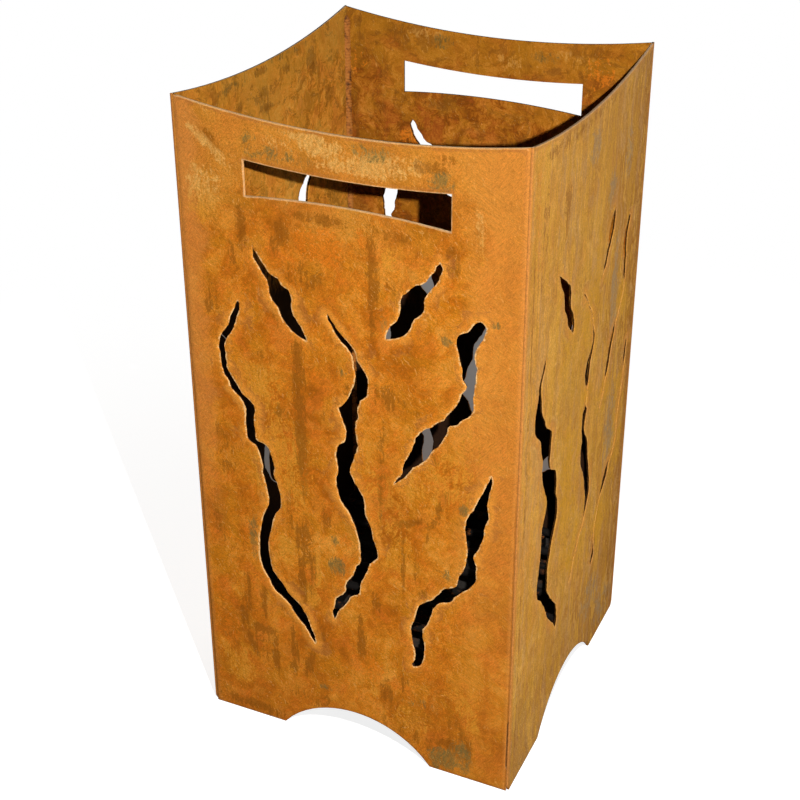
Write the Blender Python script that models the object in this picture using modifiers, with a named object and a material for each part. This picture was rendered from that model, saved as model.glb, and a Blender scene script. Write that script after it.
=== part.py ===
"""A square fire barrel of flame-cut steel sheet, with a lift-out ash pan and grate.

Metres, +Z up. The barrel is centred on the Z axis, stands on Z = 0 and faces -Y. Every side is
drawn flat, seen from outside: across it runs from left to right, and up it from the feet to
the corner peaks. Shares count from 0 at the left edge or the feet to 1 at the right edge or
the peaks.
"""

from math import cos, pi, radians, sin, sqrt

import bmesh
import bpy

# The body: four sheets, with the left and right ones lapping the ends of the front and back.
BODY_WIDTH = 0.350
BODY_DEPTH = 0.350
BODY_HEIGHT = 0.700
SHEET = 0.0025
SEAM_GAP = 0.0003
REST_GAP = 0.0003

# The rim dips between the corner peaks, and an arch under each side leaves a foot at each corner.
RIM_DIP = 0.0155
ARCH_WIDTH = 0.1725
ARCH_RISE = 0.0425
TOE_CLIP_WIDTH = 0.003
TOE_CLIP_HEIGHT = 0.006

# The hand slot in the front and in the back. Its corners are square and its long edges bowed.
SLOT_WIDTH = 0.205
SLOT_END_HEIGHT = 0.035
SLOT_BELOW_PEAK = 0.0525
SLOT_TOP_DIP = 0.005
SLOT_FOOT_RISE = 0.0053

# The fillet weld up each inside corner.
WELD_RADIUS = 0.0055
WELD_FOOT = 0.006
WELD_BELOW_PEAK = 0.010

# The corner lugs that carry the pan.
LUG_HEIGHT = 0.055
LUG_LEG = 0.045
LUG_TIP = 0.008
LUG_THICKNESS = 0.003

# The ash pan, a tray folded from thinner sheet.
PAN_CLEARANCE = 0.005
PAN_DEPTH = 0.025
PAN_SHEET = 0.002
PAN_FOLD_RADIUS = 0.004

# The grate: round bars welded across two flat rails that stand on edge in the pan.
GRATE_CLEARANCE = 0.006
GRATE_RAIL_HEIGHT = 0.030
GRATE_RAIL_THICKNESS = 0.004
GRATE_RAIL_SPACING = 0.180
GRATE_RAIL_ROUND = 0.0008
GRATE_BAR_DIAMETER = 0.010
GRATE_BAR_COUNT = 9

# How finely curves are cut into flats.
RIM_FLATS = 24
ARCH_FLATS = 20
SLOT_FLATS = 14
CUT_FLATS = 2
WELD_FLATS = 4
FOLD_FLATS = 2
BAR_SIDES = 12

# The six torn cuts of a side, each told level by level from its lower tip to its upper one:
# (share of the height, share across at the left lip, share across at the right lip).
FRONT_CUT_SHARES = {
    "far_left": (
        (0.172, 0.369, 0.369), (0.182, 0.354, 0.370), (0.198, 0.337, 0.357), (0.214, 0.306, 0.346),
        (0.230, 0.289, 0.330), (0.243, 0.258, 0.303), (0.250, 0.238, 0.286), (0.268, 0.221, 0.263),
        (0.284, 0.202, 0.236), (0.308, 0.194, 0.226), (0.332, 0.195, 0.224), (0.360, 0.204, 0.236),
        (0.388, 0.219, 0.254), (0.400, 0.232, 0.270), (0.424, 0.231, 0.272), (0.442, 0.222, 0.262),
        (0.453, 0.218, 0.253), (0.466, 0.220, 0.256), (0.484, 0.211, 0.249), (0.497, 0.199, 0.238),
        (0.502, 0.177, 0.222), (0.506, 0.174, 0.202), (0.520, 0.172, 0.200), (0.534, 0.170, 0.197),
        (0.552, 0.174, 0.202), (0.562, 0.167, 0.199), (0.571, 0.152, 0.178), (0.581, 0.131, 0.157),
        (0.592, 0.124, 0.145), (0.601, 0.112, 0.133), (0.612, 0.103, 0.120), (0.628, 0.102, 0.119),
        (0.642, 0.099, 0.116), (0.658, 0.103, 0.122), (0.668, 0.114, 0.138), (0.680, 0.131, 0.151),
        (0.694, 0.142, 0.161), (0.708, 0.156, 0.170), (0.716, 0.162, 0.172), (0.7195, 0.168, 0.168),
    ),
    "upper_left": (
        (0.681, 0.376, 0.376), (0.686, 0.350, 0.374), (0.700, 0.316, 0.360), (0.710, 0.302, 0.345),
        (0.722, 0.294, 0.334), (0.732, 0.275, 0.333), (0.742, 0.268, 0.334), (0.751, 0.267, 0.325),
        (0.757, 0.263, 0.304), (0.765, 0.256, 0.296), (0.769, 0.249, 0.274), (0.780, 0.235, 0.256),
        (0.792, 0.223, 0.240), (0.8035, 0.223, 0.223),
    ),
    "middle": (
        (0.228, 0.438, 0.438), (0.235, 0.431, 0.444), (0.248, 0.437, 0.455), (0.257, 0.441, 0.471),
        (0.267, 0.447, 0.483), (0.276, 0.466, 0.491), (0.283, 0.476, 0.514), (0.292, 0.476, 0.523),
        (0.301, 0.480, 0.523), (0.316, 0.503, 0.534), (0.332, 0.513, 0.548), (0.343, 0.527, 0.555),
        (0.353, 0.526, 0.574), (0.361, 0.527, 0.581), (0.374, 0.524, 0.577), (0.390, 0.519, 0.566),
        (0.410, 0.504, 0.558), (0.425, 0.489, 0.543), (0.439, 0.468, 0.542), (0.454, 0.459, 0.537),
        (0.469, 0.454, 0.519), (0.481, 0.459, 0.505), (0.493, 0.462, 0.498), (0.503, 0.457, 0.503),
        (0.519, 0.458, 0.514), (0.530, 0.465, 0.521), (0.536, 0.482, 0.524), (0.547, 0.489, 0.520),
        (0.562, 0.486, 0.518), (0.573, 0.478, 0.520), (0.582, 0.471, 0.526), (0.589, 0.470, 0.524),
        (0.597, 0.486, 0.526), (0.607, 0.497, 0.533), (0.617, 0.508, 0.554), (0.628, 0.514, 0.557),
        (0.643, 0.522, 0.556), (0.657, 0.517, 0.542), (0.667, 0.516, 0.527), (0.678, 0.508, 0.520),
        (0.685, 0.495, 0.513), (0.696, 0.471, 0.492), (0.708, 0.456, 0.470), (0.719, 0.444, 0.454),
        (0.7285, 0.439, 0.439),
    ),
    "upper_right": (
        (0.7085, 0.613, 0.613), (0.713, 0.613, 0.640), (0.720, 0.617, 0.665), (0.729, 0.627, 0.680),
        (0.738, 0.643, 0.686), (0.747, 0.652, 0.697), (0.754, 0.655, 0.713), (0.762, 0.655, 0.721),
        (0.773, 0.657, 0.720), (0.780, 0.671, 0.723), (0.788, 0.684, 0.734), (0.794, 0.700, 0.744),
        (0.798, 0.721, 0.749), (0.807, 0.732, 0.761), (0.816, 0.747, 0.767), (0.824, 0.754, 0.770),
        (0.830, 0.765, 0.765),
    ),
    "far_right": (
        (0.488, 0.633, 0.633), (0.497, 0.643, 0.654), (0.509, 0.658, 0.674), (0.521, 0.662, 0.689),
        (0.528, 0.667, 0.706), (0.538, 0.676, 0.728), (0.548, 0.686, 0.739), (0.556, 0.691, 0.747),
        (0.562, 0.694, 0.761), (0.573, 0.703, 0.774), (0.583, 0.720, 0.785), (0.591, 0.743, 0.790),
        (0.600, 0.761, 0.797), (0.603, 0.772, 0.816), (0.610, 0.785, 0.826), (0.618, 0.794, 0.846),
        (0.627, 0.808, 0.860), (0.640, 0.822, 0.863), (0.652, 0.829, 0.862), (0.663, 0.844, 0.864),
        (0.672, 0.831, 0.866), (0.684, 0.830, 0.868), (0.692, 0.826, 0.870), (0.704, 0.821, 0.862),
        (0.717, 0.815, 0.864), (0.729, 0.812, 0.876), (0.736, 0.820, 0.884), (0.742, 0.842, 0.889),
        (0.752, 0.857, 0.893), (0.759, 0.869, 0.884), (0.7605, 0.877, 0.877),
    ),
    "lower_right": (
        (0.1815, 0.694, 0.694), (0.186, 0.689, 0.711), (0.195, 0.697, 0.720), (0.210, 0.698, 0.727),
        (0.224, 0.692, 0.727), (0.240, 0.686, 0.722), (0.254, 0.686, 0.722), (0.264, 0.693, 0.734),
        (0.276, 0.700, 0.744), (0.290, 0.706, 0.751), (0.300, 0.722, 0.760), (0.308, 0.746, 0.772),
        (0.314, 0.757, 0.803), (0.324, 0.772, 0.817), (0.335, 0.789, 0.838), (0.341, 0.815, 0.850),
        (0.350, 0.827, 0.866), (0.362, 0.831, 0.881), (0.374, 0.844, 0.880), (0.388, 0.850, 0.881),
        (0.400, 0.854, 0.874), (0.410, 0.855, 0.880), (0.424, 0.851, 0.892), (0.440, 0.847, 0.901),
        (0.452, 0.848, 0.902), (0.463, 0.855, 0.910), (0.477, 0.869, 0.913), (0.490, 0.880, 0.909),
        (0.504, 0.892, 0.911), (0.518, 0.904, 0.918), (0.528, 0.911, 0.921), (0.5365, 0.919, 0.919),
    ),
}

# The left and right sheets carry the same cuts, drawn by hand a second time.
SIDE_CUT_SHARES = {
    "far_left": (
        (0.171, 0.372, 0.372), (0.181, 0.356, 0.382), (0.194, 0.335, 0.378), (0.209, 0.304, 0.371),
        (0.221, 0.283, 0.357), (0.232, 0.273, 0.336), (0.246, 0.256, 0.311), (0.260, 0.238, 0.290),
        (0.274, 0.215, 0.272), (0.286, 0.188, 0.274), (0.297, 0.179, 0.271), (0.316, 0.180, 0.271),
        (0.334, 0.189, 0.284), (0.354, 0.195, 0.296), (0.368, 0.198, 0.310), (0.382, 0.198, 0.329),
        (0.404, 0.200, 0.330), (0.416, 0.214, 0.327), (0.430, 0.228, 0.311), (0.443, 0.230, 0.312),
        (0.458, 0.213, 0.309), (0.472, 0.198, 0.299), (0.480, 0.190, 0.278), (0.489, 0.183, 0.250),
        (0.506, 0.176, 0.241), (0.524, 0.178, 0.244), (0.536, 0.165, 0.248), (0.550, 0.157, 0.246),
        (0.561, 0.149, 0.220), (0.571, 0.126, 0.194), (0.584, 0.104, 0.182), (0.598, 0.099, 0.160),
        (0.612, 0.101, 0.151), (0.626, 0.112, 0.148), (0.640, 0.119, 0.138), (0.653, 0.121, 0.142),
        (0.665, 0.138, 0.157), (0.675, 0.149, 0.167), (0.682, 0.161, 0.161),
    ),
    "upper_left": (
        (0.670, 0.384, 0.384), (0.677, 0.370, 0.396), (0.688, 0.344, 0.392), (0.700, 0.330, 0.380),
        (0.711, 0.320, 0.362), (0.723, 0.301, 0.352), (0.736, 0.294, 0.352), (0.747, 0.290, 0.346),
        (0.757, 0.276, 0.326), (0.765, 0.264, 0.306), (0.774, 0.255, 0.276), (0.787, 0.242, 0.242),
    ),
    "middle": (
        (0.216, 0.480, 0.480), (0.226, 0.481, 0.502), (0.240, 0.494, 0.516), (0.254, 0.508, 0.534),
        (0.265, 0.519, 0.556), (0.277, 0.530, 0.570), (0.288, 0.558, 0.592), (0.300, 0.578, 0.606),
        (0.316, 0.594, 0.614), (0.332, 0.598, 0.632), (0.346, 0.595, 0.637), (0.360, 0.584, 0.634),
        (0.374, 0.578, 0.627), (0.390, 0.563, 0.616), (0.403, 0.548, 0.608), (0.416, 0.532, 0.599),
        (0.432, 0.526, 0.594), (0.445, 0.524, 0.586), (0.455, 0.530, 0.572), (0.464, 0.531, 0.557),
        (0.477, 0.522, 0.548), (0.492, 0.520, 0.556), (0.506, 0.523, 0.563), (0.522, 0.534, 0.564),
        (0.538, 0.540, 0.569), (0.552, 0.531, 0.562), (0.566, 0.523, 0.562), (0.578, 0.523, 0.569),
        (0.590, 0.533, 0.578), (0.602, 0.550, 0.592), (0.614, 0.565, 0.602), (0.630, 0.557, 0.600),
        (0.646, 0.551, 0.587), (0.660, 0.547, 0.574), (0.670, 0.530, 0.560), (0.682, 0.506, 0.537),
        (0.696, 0.490, 0.513), (0.706, 0.474, 0.494), (0.712, 0.469, 0.469),
    ),
    "upper_right": (
        (0.706, 0.636, 0.636), (0.714, 0.641, 0.661), (0.726, 0.650, 0.675), (0.738, 0.663, 0.688),
        (0.749, 0.671, 0.705), (0.762, 0.672, 0.721), (0.773, 0.680, 0.726), (0.783, 0.695, 0.728),
        (0.796, 0.721, 0.721),
    ),
    "far_right": (
        (0.474, 0.692, 0.692), (0.486, 0.698, 0.716), (0.504, 0.709, 0.733), (0.522, 0.723, 0.750),
        (0.540, 0.733, 0.761), (0.556, 0.743, 0.774), (0.572, 0.754, 0.788), (0.588, 0.774, 0.806),
        (0.604, 0.796, 0.834), (0.618, 0.818, 0.862), (0.631, 0.840, 0.874), (0.650, 0.856, 0.873),
        (0.666, 0.850, 0.870), (0.680, 0.844, 0.870), (0.692, 0.841, 0.871), (0.706, 0.834, 0.865),
        (0.720, 0.829, 0.863), (0.733, 0.835, 0.868), (0.744, 0.850, 0.880), (0.753, 0.860, 0.884),
        (0.758, 0.872, 0.872),
    ),
    "lower_right": (
        (0.177, 0.708, 0.708), (0.186, 0.702, 0.727), (0.200, 0.712, 0.738), (0.214, 0.713, 0.737),
        (0.230, 0.708, 0.731), (0.246, 0.706, 0.729), (0.260, 0.714, 0.737), (0.274, 0.726, 0.749),
        (0.288, 0.736, 0.766), (0.300, 0.751, 0.789), (0.312, 0.771, 0.811), (0.326, 0.790, 0.843),
        (0.338, 0.816, 0.866), (0.350, 0.854, 0.887), (0.364, 0.873, 0.900), (0.382, 0.883, 0.902),
        (0.400, 0.880, 0.900), (0.416, 0.885, 0.907), (0.432, 0.890, 0.913), (0.448, 0.900, 0.923),
        (0.466, 0.912, 0.933), (0.484, 0.916, 0.938), (0.502, 0.912, 0.937), (0.518, 0.920, 0.939),
        (0.530, 0.927, 0.944), (0.540, 0.937, 0.937),
    ),
}

# Colour (linear), roughness and metallic value of each kind of piece.
FRONT_RUST = ((0.48, 0.17, 0.03), 0.80, 0.0)
BACK_RUST = ((0.40, 0.14, 0.03), 0.82, 0.0)
SIDE_RUST = ((0.50, 0.25, 0.06), 0.80, 0.0)
FAR_SIDE_RUST = ((0.42, 0.19, 0.05), 0.82, 0.0)
WELD_RUST = ((0.20, 0.08, 0.03), 0.70, 0.2)
LUG_STEEL = ((0.10, 0.06, 0.04), 0.75, 0.3)
PAN_STEEL = ((0.07, 0.05, 0.04), 0.65, 0.6)
GRATE_STEEL = ((0.04, 0.035, 0.03), 0.60, 0.7)


def clear_scene():
    """Empty the scene and make the collection that holds the barrel."""
    for obj in list(bpy.data.objects):
        bpy.data.objects.remove(obj, do_unlink=True)
    collection = bpy.data.collections.new("fire_barrel")
    bpy.context.scene.collection.children.link(collection)
    return collection


def steel(name, look):
    """A plain material for one piece."""
    colour, roughness, metallic = look
    material = bpy.data.materials.new(name)
    material.use_nodes = True
    shader = material.node_tree.nodes["Principled BSDF"]
    shader.inputs["Base Color"].default_value = (*colour, 1.0)
    shader.inputs["Roughness"].default_value = roughness
    shader.inputs["Metallic"].default_value = metallic
    return material


def place(collection, name, data, look, parent, location=(0.0, 0.0, 0.0), turn=(0.0, 0.0, 0.0)):
    """Put a piece in the collection, under its parent."""
    obj = bpy.data.objects.new(name, data)
    obj.location = location
    obj.rotation_euler = turn
    obj.parent = parent
    collection.objects.link(obj)
    if not data.materials:
        data.materials.append(steel(name, look))
    return obj


def empty(collection, name, location, parent=None):
    """A bare axis that carries the pieces which move together."""
    obj = bpy.data.objects.new(name, None)
    obj.location = location
    obj.parent = parent
    collection.objects.link(obj)
    return obj


def arc_height(x, half_chord, rise):
    """Height above its chord of a circular arc that rises by rise in the middle."""
    radius = (half_chord**2 + rise**2) / (2 * rise)
    return sqrt(radius**2 - x**2) - (radius - rise)


def spread(first, last, steps):
    """Evenly spaced values from first to last."""
    return [first + (last - first) * step / steps for step in range(steps + 1)]


def sheet_outline(across, edge, clipped):
    """The outside line of a side: feet, arch, straight edges and dipped rim."""
    half_arch = ARCH_WIDTH / 2
    arch = [(x, arc_height(x, half_arch, ARCH_RISE)) for x in spread(-half_arch, half_arch, ARCH_FLATS)]
    rim = [(x, BODY_HEIGHT - arc_height(x, across / 2, RIM_DIP)) for x in spread(edge, -edge, RIM_FLATS)]
    if clipped:
        toes = [(edge - TOE_CLIP_WIDTH, 0.0), (edge, TOE_CLIP_HEIGHT)]
    else:
        toes = [(edge, 0.0)]
    return arch + toes + rim + [(-x, z) for x, z in reversed(toes)]


def slot_outline():
    """The hand slot, whose top edge follows the rim and whose lower edge bows up."""
    half = SLOT_WIDTH / 2
    top = BODY_HEIGHT - SLOT_BELOW_PEAK
    foot = top - SLOT_END_HEIGHT
    lower = [(x, foot + arc_height(x, half, SLOT_FOOT_RISE)) for x in spread(-half, half, SLOT_FLATS)]
    upper = [(x, top - arc_height(x, half, SLOT_TOP_DIP)) for x in spread(half, -half, SLOT_FLATS)]
    return lower + upper


def cut_outline(shares, across):
    """A torn cut: up its left lip from the lower tip, and down its right lip from the upper."""
    left = [((lip - 0.5) * across, level * BODY_HEIGHT) for level, lip, _ in shares]
    right = [((lip - 0.5) * across, level * BODY_HEIGHT) for level, _, lip in shares]
    return left + right[-2:0:-1]


def add_straight(curve, points):
    """A closed line of straight runs."""
    spline = curve.splines.new("POLY")
    spline.points.add(len(points) - 1)
    for point, (x, y) in zip(spline.points, points):
        point.co = (x, y, 0.0, 1.0)
    spline.use_cyclic_u = True


def add_smooth(curve, points, sharp):
    """A closed line that bends smoothly through its points, save at the sharp ones."""
    spline = curve.splines.new("BEZIER")
    spline.resolution_u = CUT_FLATS
    spline.bezier_points.add(len(points) - 1)
    for index, (point, (x, y)) in enumerate(zip(spline.bezier_points, points)):
        point.co = (x, y, 0.0)
        kind = "VECTOR" if index in sharp else "AUTO"
        point.handle_left_type = point.handle_right_type = kind
    spline.use_cyclic_u = True


def plate(name, thickness):
    """A flat curve that fills its outline and is extruded to a sheet."""
    curve = bpy.data.curves.new(name, "CURVE")
    curve.dimensions = "2D"
    curve.fill_mode = "BOTH"
    curve.extrude = thickness / 2
    return curve


def side_sheet(name, across, edge, clipped, slotted, cuts):
    """One side of the barrel, drawn flat with its rim, feet, slot and torn cuts."""
    curve = plate(name, SHEET)
    add_straight(curve, sheet_outline(across, edge, clipped))
    if slotted:
        add_straight(curve, slot_outline())
    for shares in cuts.values():
        add_smooth(curve, cut_outline(shares, across), sharp=(0, len(shares) - 1))
    return curve


def add_sides(collection, barrel):
    """The four sides. Each stands upright with its outer face on the outside of the body."""
    front_edge = BODY_WIDTH / 2 - SHEET - SEAM_GAP
    side_edge = BODY_DEPTH / 2
    front_out = (BODY_DEPTH - SHEET) / 2
    side_out = (BODY_WIDTH - SHEET) / 2
    for name, turn, location, look in (
        ("front_panel", 0.0, (0.0, -front_out, 0.0), FRONT_RUST),
        ("back_panel", pi, (0.0, front_out, 0.0), BACK_RUST),
    ):
        curve = side_sheet(name, BODY_WIDTH, front_edge, False, True, FRONT_CUT_SHARES)
        place(collection, name, curve, look, barrel, location, (pi / 2, 0.0, turn))
    for name, turn, location, look in (
        ("right_panel", pi / 2, (side_out, 0.0, 0.0), SIDE_RUST),
        ("left_panel", -pi / 2, (-side_out, 0.0, 0.0), FAR_SIDE_RUST),
    ):
        curve = side_sheet(name, BODY_DEPTH, side_edge, True, False, SIDE_CUT_SHARES)
        place(collection, name, curve, look, barrel, location, (pi / 2, 0.0, turn))


def corners():
    """Each inside corner: its name, its place, and the turn that points +X and +Y into the room."""
    x = BODY_WIDTH / 2 - SHEET
    y = BODY_DEPTH / 2 - SHEET
    return (
        ("front_left", (-x, -y), 0.0),
        ("front_right", (x, -y), pi / 2),
        ("back_right", (x, y), pi),
        ("back_left", (-x, y), -pi / 2),
    )


def weld_outline():
    """The cross section of a fillet weld: a quarter round with its centre in the corner."""
    turns = spread(0.0, pi / 2, WELD_FLATS)
    round_face = [(SEAM_GAP + WELD_RADIUS * cos(turn), SEAM_GAP + WELD_RADIUS * sin(turn)) for turn in turns]
    return [(SEAM_GAP, SEAM_GAP)] + round_face


def lug_outline():
    """A corner lug: a triangle with blunt tips, nipped at the corner so that it clears the weld."""
    nip = SEAM_GAP + (WELD_RADIUS + SEAM_GAP) * sqrt(2)
    leg = SEAM_GAP + LUG_LEG
    tip = SEAM_GAP + LUG_TIP
    return [(nip, SEAM_GAP), (leg, SEAM_GAP), (leg, tip), (tip, leg), (SEAM_GAP, leg), (SEAM_GAP, nip)]


def add_corners(collection, barrel):
    """The weld up each inside corner, and the lug across it that carries the pan."""
    weld_top = BODY_HEIGHT - WELD_BELOW_PEAK
    weld_length = weld_top - WELD_FOOT
    for corner, (x, y), turn in corners():
        name = "corner_weld_" + corner
        curve = plate(name, weld_length)
        add_straight(curve, weld_outline())
        height = WELD_FOOT + weld_length / 2
        place(collection, name, curve, WELD_RUST, barrel, (x, y, height), (0.0, 0.0, turn))
        name = "pan_lug_" + corner
        curve = plate(name, LUG_THICKNESS)
        add_straight(curve, lug_outline())
        height = LUG_HEIGHT + LUG_THICKNESS / 2
        place(collection, name, curve, LUG_STEEL, barrel, (x, y, height), (0.0, 0.0, turn))


def box(name, sides):
    """A mesh box centred on its origin."""
    mesh = bpy.data.meshes.new(name)
    shape = bmesh.new()
    bmesh.ops.create_cube(shape, size=1.0)
    bmesh.ops.scale(shape, vec=sides, verts=shape.verts)
    shape.to_mesh(mesh)
    shape.free()
    return mesh


def pan_shell(width, depth):
    """The folded skin of the pan: a box without its lid, its folds rounded, standing on its origin."""
    mesh = box("ash_pan", (width, depth, PAN_DEPTH))
    shape = bmesh.new()
    shape.from_mesh(mesh)
    bmesh.ops.translate(shape, vec=(0.0, 0.0, PAN_DEPTH / 2), verts=shape.verts)
    lid = max(shape.faces, key=lambda face: face.calc_center_median().z)
    lip = set(lid.edges)
    bmesh.ops.delete(shape, geom=[lid], context="FACES_ONLY")
    folds = [edge for edge in shape.edges if edge not in lip]
    bmesh.ops.bevel(
        shape, geom=folds, offset=PAN_FOLD_RADIUS, segments=FOLD_FLATS, profile=0.5, affect="EDGES"
    )
    shape.to_mesh(mesh)
    shape.free()
    return mesh


def bar_rod(length):
    """A round bar along Z, smooth round its side and sharp at its ends."""
    mesh = bpy.data.meshes.new("grate_bar")
    shape = bmesh.new()
    radius = GRATE_BAR_DIAMETER / 2
    bmesh.ops.create_cone(
        shape, cap_ends=True, segments=BAR_SIDES, radius1=radius, radius2=radius, depth=length
    )
    shape.to_mesh(mesh)
    shape.free()
    mesh.shade_smooth()
    mesh.set_sharp_from_angle(angle=radians(60))
    return mesh


def add_pan(collection, barrel):
    """The ash pan on its lugs. Its origin is on the line that it is lifted along."""
    width = BODY_WIDTH - 2 * (SHEET + PAN_CLEARANCE)
    depth = BODY_DEPTH - 2 * (SHEET + PAN_CLEARANCE)
    lift = empty(collection, "ash_pan_lift", (0.0, 0.0, LUG_HEIGHT + LUG_THICKNESS + REST_GAP), barrel)
    pan = place(collection, "ash_pan", pan_shell(width, depth), PAN_STEEL, lift)
    wall = pan.modifiers.new("wall", "SOLIDIFY")
    wall.thickness = PAN_SHEET
    wall.offset = -1.0
    wall.use_even_offset = True
    return lift, width - 2 * PAN_SHEET, depth - 2 * PAN_SHEET


def add_grate(collection, pan_lift, pan_width, pan_depth):
    """The grate in the pan: two rails on edge, and bars laid across them at an even pitch."""
    lift = empty(collection, "grate_lift", (0.0, 0.0, PAN_SHEET + REST_GAP), pan_lift)
    rail_length = pan_depth - 2 * GRATE_CLEARANCE
    bar_length = pan_width - 2 * GRATE_CLEARANCE
    for name, x in (("grate_rail_left", -GRATE_RAIL_SPACING / 2), ("grate_rail_right", GRATE_RAIL_SPACING / 2)):
        mesh = box(name, (GRATE_RAIL_THICKNESS, rail_length, GRATE_RAIL_HEIGHT))
        rail = place(collection, name, mesh, GRATE_STEEL, lift, (x, 0.0, GRATE_RAIL_HEIGHT / 2))
        rounding = rail.modifiers.new("rounding", "BEVEL")
        rounding.width = GRATE_RAIL_ROUND
        rounding.segments = 1
    rod = bar_rod(bar_length)
    height = GRATE_RAIL_HEIGHT + SEAM_GAP + GRATE_BAR_DIAMETER / 2
    reach = (rail_length - GRATE_BAR_DIAMETER) / 2
    for number, y in enumerate(spread(-reach, reach, GRATE_BAR_COUNT - 1), start=1):
        place(collection, f"grate_bar_{number}", rod, GRATE_STEEL, lift, (0.0, y, height), (0.0, pi / 2, 0.0))


def main():
    collection = clear_scene()
    barrel = empty(collection, "barrel", (0.0, 0.0, 0.0))
    add_sides(collection, barrel)
    add_corners(collection, barrel)
    pan_lift, pan_width, pan_depth = add_pan(collection, barrel)
    add_grate(collection, pan_lift, pan_width, pan_depth)


main()
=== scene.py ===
"""A fire barrel: four rusted sheets with torn cuts, welded corners, and a grate in an ash pan."""

from math import cos, pi, radians, sin

import bmesh
import bpy
import numpy as np
from mathutils import Euler, Matrix, Vector, kdtree, noise


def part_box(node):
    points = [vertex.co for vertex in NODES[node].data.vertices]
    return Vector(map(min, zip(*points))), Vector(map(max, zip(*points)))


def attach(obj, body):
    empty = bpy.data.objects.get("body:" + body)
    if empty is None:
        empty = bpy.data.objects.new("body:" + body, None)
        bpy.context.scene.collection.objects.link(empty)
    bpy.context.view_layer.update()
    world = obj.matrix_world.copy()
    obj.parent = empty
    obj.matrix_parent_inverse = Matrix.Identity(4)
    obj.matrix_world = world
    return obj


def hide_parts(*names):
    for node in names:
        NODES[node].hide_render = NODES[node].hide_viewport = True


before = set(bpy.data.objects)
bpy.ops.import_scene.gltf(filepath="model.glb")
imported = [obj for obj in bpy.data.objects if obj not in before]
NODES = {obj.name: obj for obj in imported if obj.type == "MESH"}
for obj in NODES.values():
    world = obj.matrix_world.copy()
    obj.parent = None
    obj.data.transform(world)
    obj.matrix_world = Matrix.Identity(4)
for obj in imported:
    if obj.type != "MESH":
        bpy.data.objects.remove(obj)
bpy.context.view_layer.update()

bl_info = {
    "name": "Fire barrel",
    "version": (1, 0, 0),
    "blender": (4, 5, 0),
    "location": "3D View > Sidebar > Fire barrel",
    "description": "Builds the sheets, welds, ash pan, grate and stage of a rusted fire barrel",
    "category": "Add Mesh",
}

BARREL_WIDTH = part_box("right_panel")[1].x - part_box("left_panel")[0].x
BARREL_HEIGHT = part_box("right_panel")[1].z
SHEET_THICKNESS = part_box("front_panel")[1].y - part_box("front_panel")[0].y
MM_PER_METRE = 1000.0
TINY = 1e-6


def tint(red, green, blue):
    """A colour as read on a screen, 0 to 255, in the linear values that shaders take."""
    shares = (channel / 255 for channel in (red, green, blue))
    return tuple(s / 12.92 if s <= 0.04045 else ((s + 0.055) / 1.055) ** 2.4 for s in shares)


def length(name, description, default, most=0.1):
    return bpy.props.FloatProperty(
        name=name, description=description, default=default, min=0.0, max=most, unit="LENGTH", precision=5
    )


def colour(name, description, default):
    shade = tint(*default)
    return bpy.props.FloatVectorProperty(
        name=name, description=description, default=shade, size=3, min=0.0, max=1.0, subtype="COLOR"
    )


def share(name, description, default, most=1.0):
    return bpy.props.FloatProperty(name=name, description=description, default=default, min=0.0, max=most)


class BarrelSheetSettings(bpy.types.PropertyGroup):
    """Sizes and rust colours of the four sheets."""

    cell: length("Cell", "Size of the grid that a sheet is divided into", 0.004)
    arris: length("Arris", "How far every cut edge is rounded", 0.0003)
    rag: length("Rag", "How far the torch wandered along a torn cut", 0.0011)
    warp: length("Warp", "How far the heat drew a sheet inwards between its edges", 0.0009)
    kerf: length("Kerf taper", "How much wider a torn cut is at the inner face", 0.0008)
    dross: length("Dross", "Height of the drops that hang behind a torn cut", 0.0009)
    seam: length("Open seam", "Width of the seam left open at the front right foot", 0.0011)
    front: colour("Front rust", "Main colour of the front sheet", (214, 123, 29))
    front_dark: colour("Front stain", "Colour of stains and runs on the front sheet", (148, 85, 20))
    front_gold: colour("Front gold", "Colour of the brushed strip over the hand slot", (228, 172, 90))
    side: colour("Side rust", "Main colour of the side sheets", (203, 145, 62))
    side_dark: colour("Side stain", "Colour of stains and runs on the side sheets", (146, 94, 40))
    side_grey: colour("Side grey", "Colour of the mill scale that shows on the side sheets", (154, 126, 88))
    inside: colour("Inside rust", "Main colour of the side sheets' inner faces", (232, 147, 48))
    inside_dark: colour("Inside stain", "Colour of the blotches on the inner faces", (112, 66, 22))
    # Soot is also the colour of the painted shade deep inside the barrel.
    soot: colour("Soot", "Colour of the sheets round the fire", (34, 26, 21))
    # The cut lip stands partly for a painted highlight along the cut's edge.
    lip: colour("Cut lip", "Colour of the thin line along a torn cut", (255, 206, 138))
    glow: colour("Cut rim", "Colour of the fresh rust beside a torn cut", (244, 158, 58))


class BarrelWeldSettings(bpy.types.PropertyGroup):
    """Sizes and colour of the weld beads."""

    ripple: length("Ripple", "Distance from one ripple of a bead to the next", 0.0034)
    swell: share("Swell", "How much of its radius a bead swells at a ripple", 0.13)
    bead: colour("Bead", "Colour of the rusted beads", (178, 106, 44))
    pit: colour("Pit", "Colour of the pits in the beads", (46, 28, 16))


class BarrelFireBedSettings(bpy.types.PropertyGroup):
    """Sizes and colours of the lugs, the ash pan and the grate."""

    bar_round: length("Bar end", "How far the ends of the grate's bars are rounded", 0.0012)
    scale_depth: length("Scale", "How rough fire scale has made the bars", 0.00022)
    tack: length("Tack", "Radius of the tack welds that hold a bar to its rail", 0.0034)
    # These colours are kept very dark, partly as fire scale and soot, partly as painted shade so that the
    # grate and pan stay black through the cuts.
    iron: colour("Fire scale", "Colour of the scaled bars and rails", (26, 23, 21))
    pan: colour("Pan", "Colour of the heat-darkened ash pan", (32, 27, 23))
    rust: colour("Bed rust", "Colour of the rust on the pan, lugs and grate", (74, 42, 20))
    ash: colour("Ash", "Colour of the ash that clings to the pan", (56, 53, 49))


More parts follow.
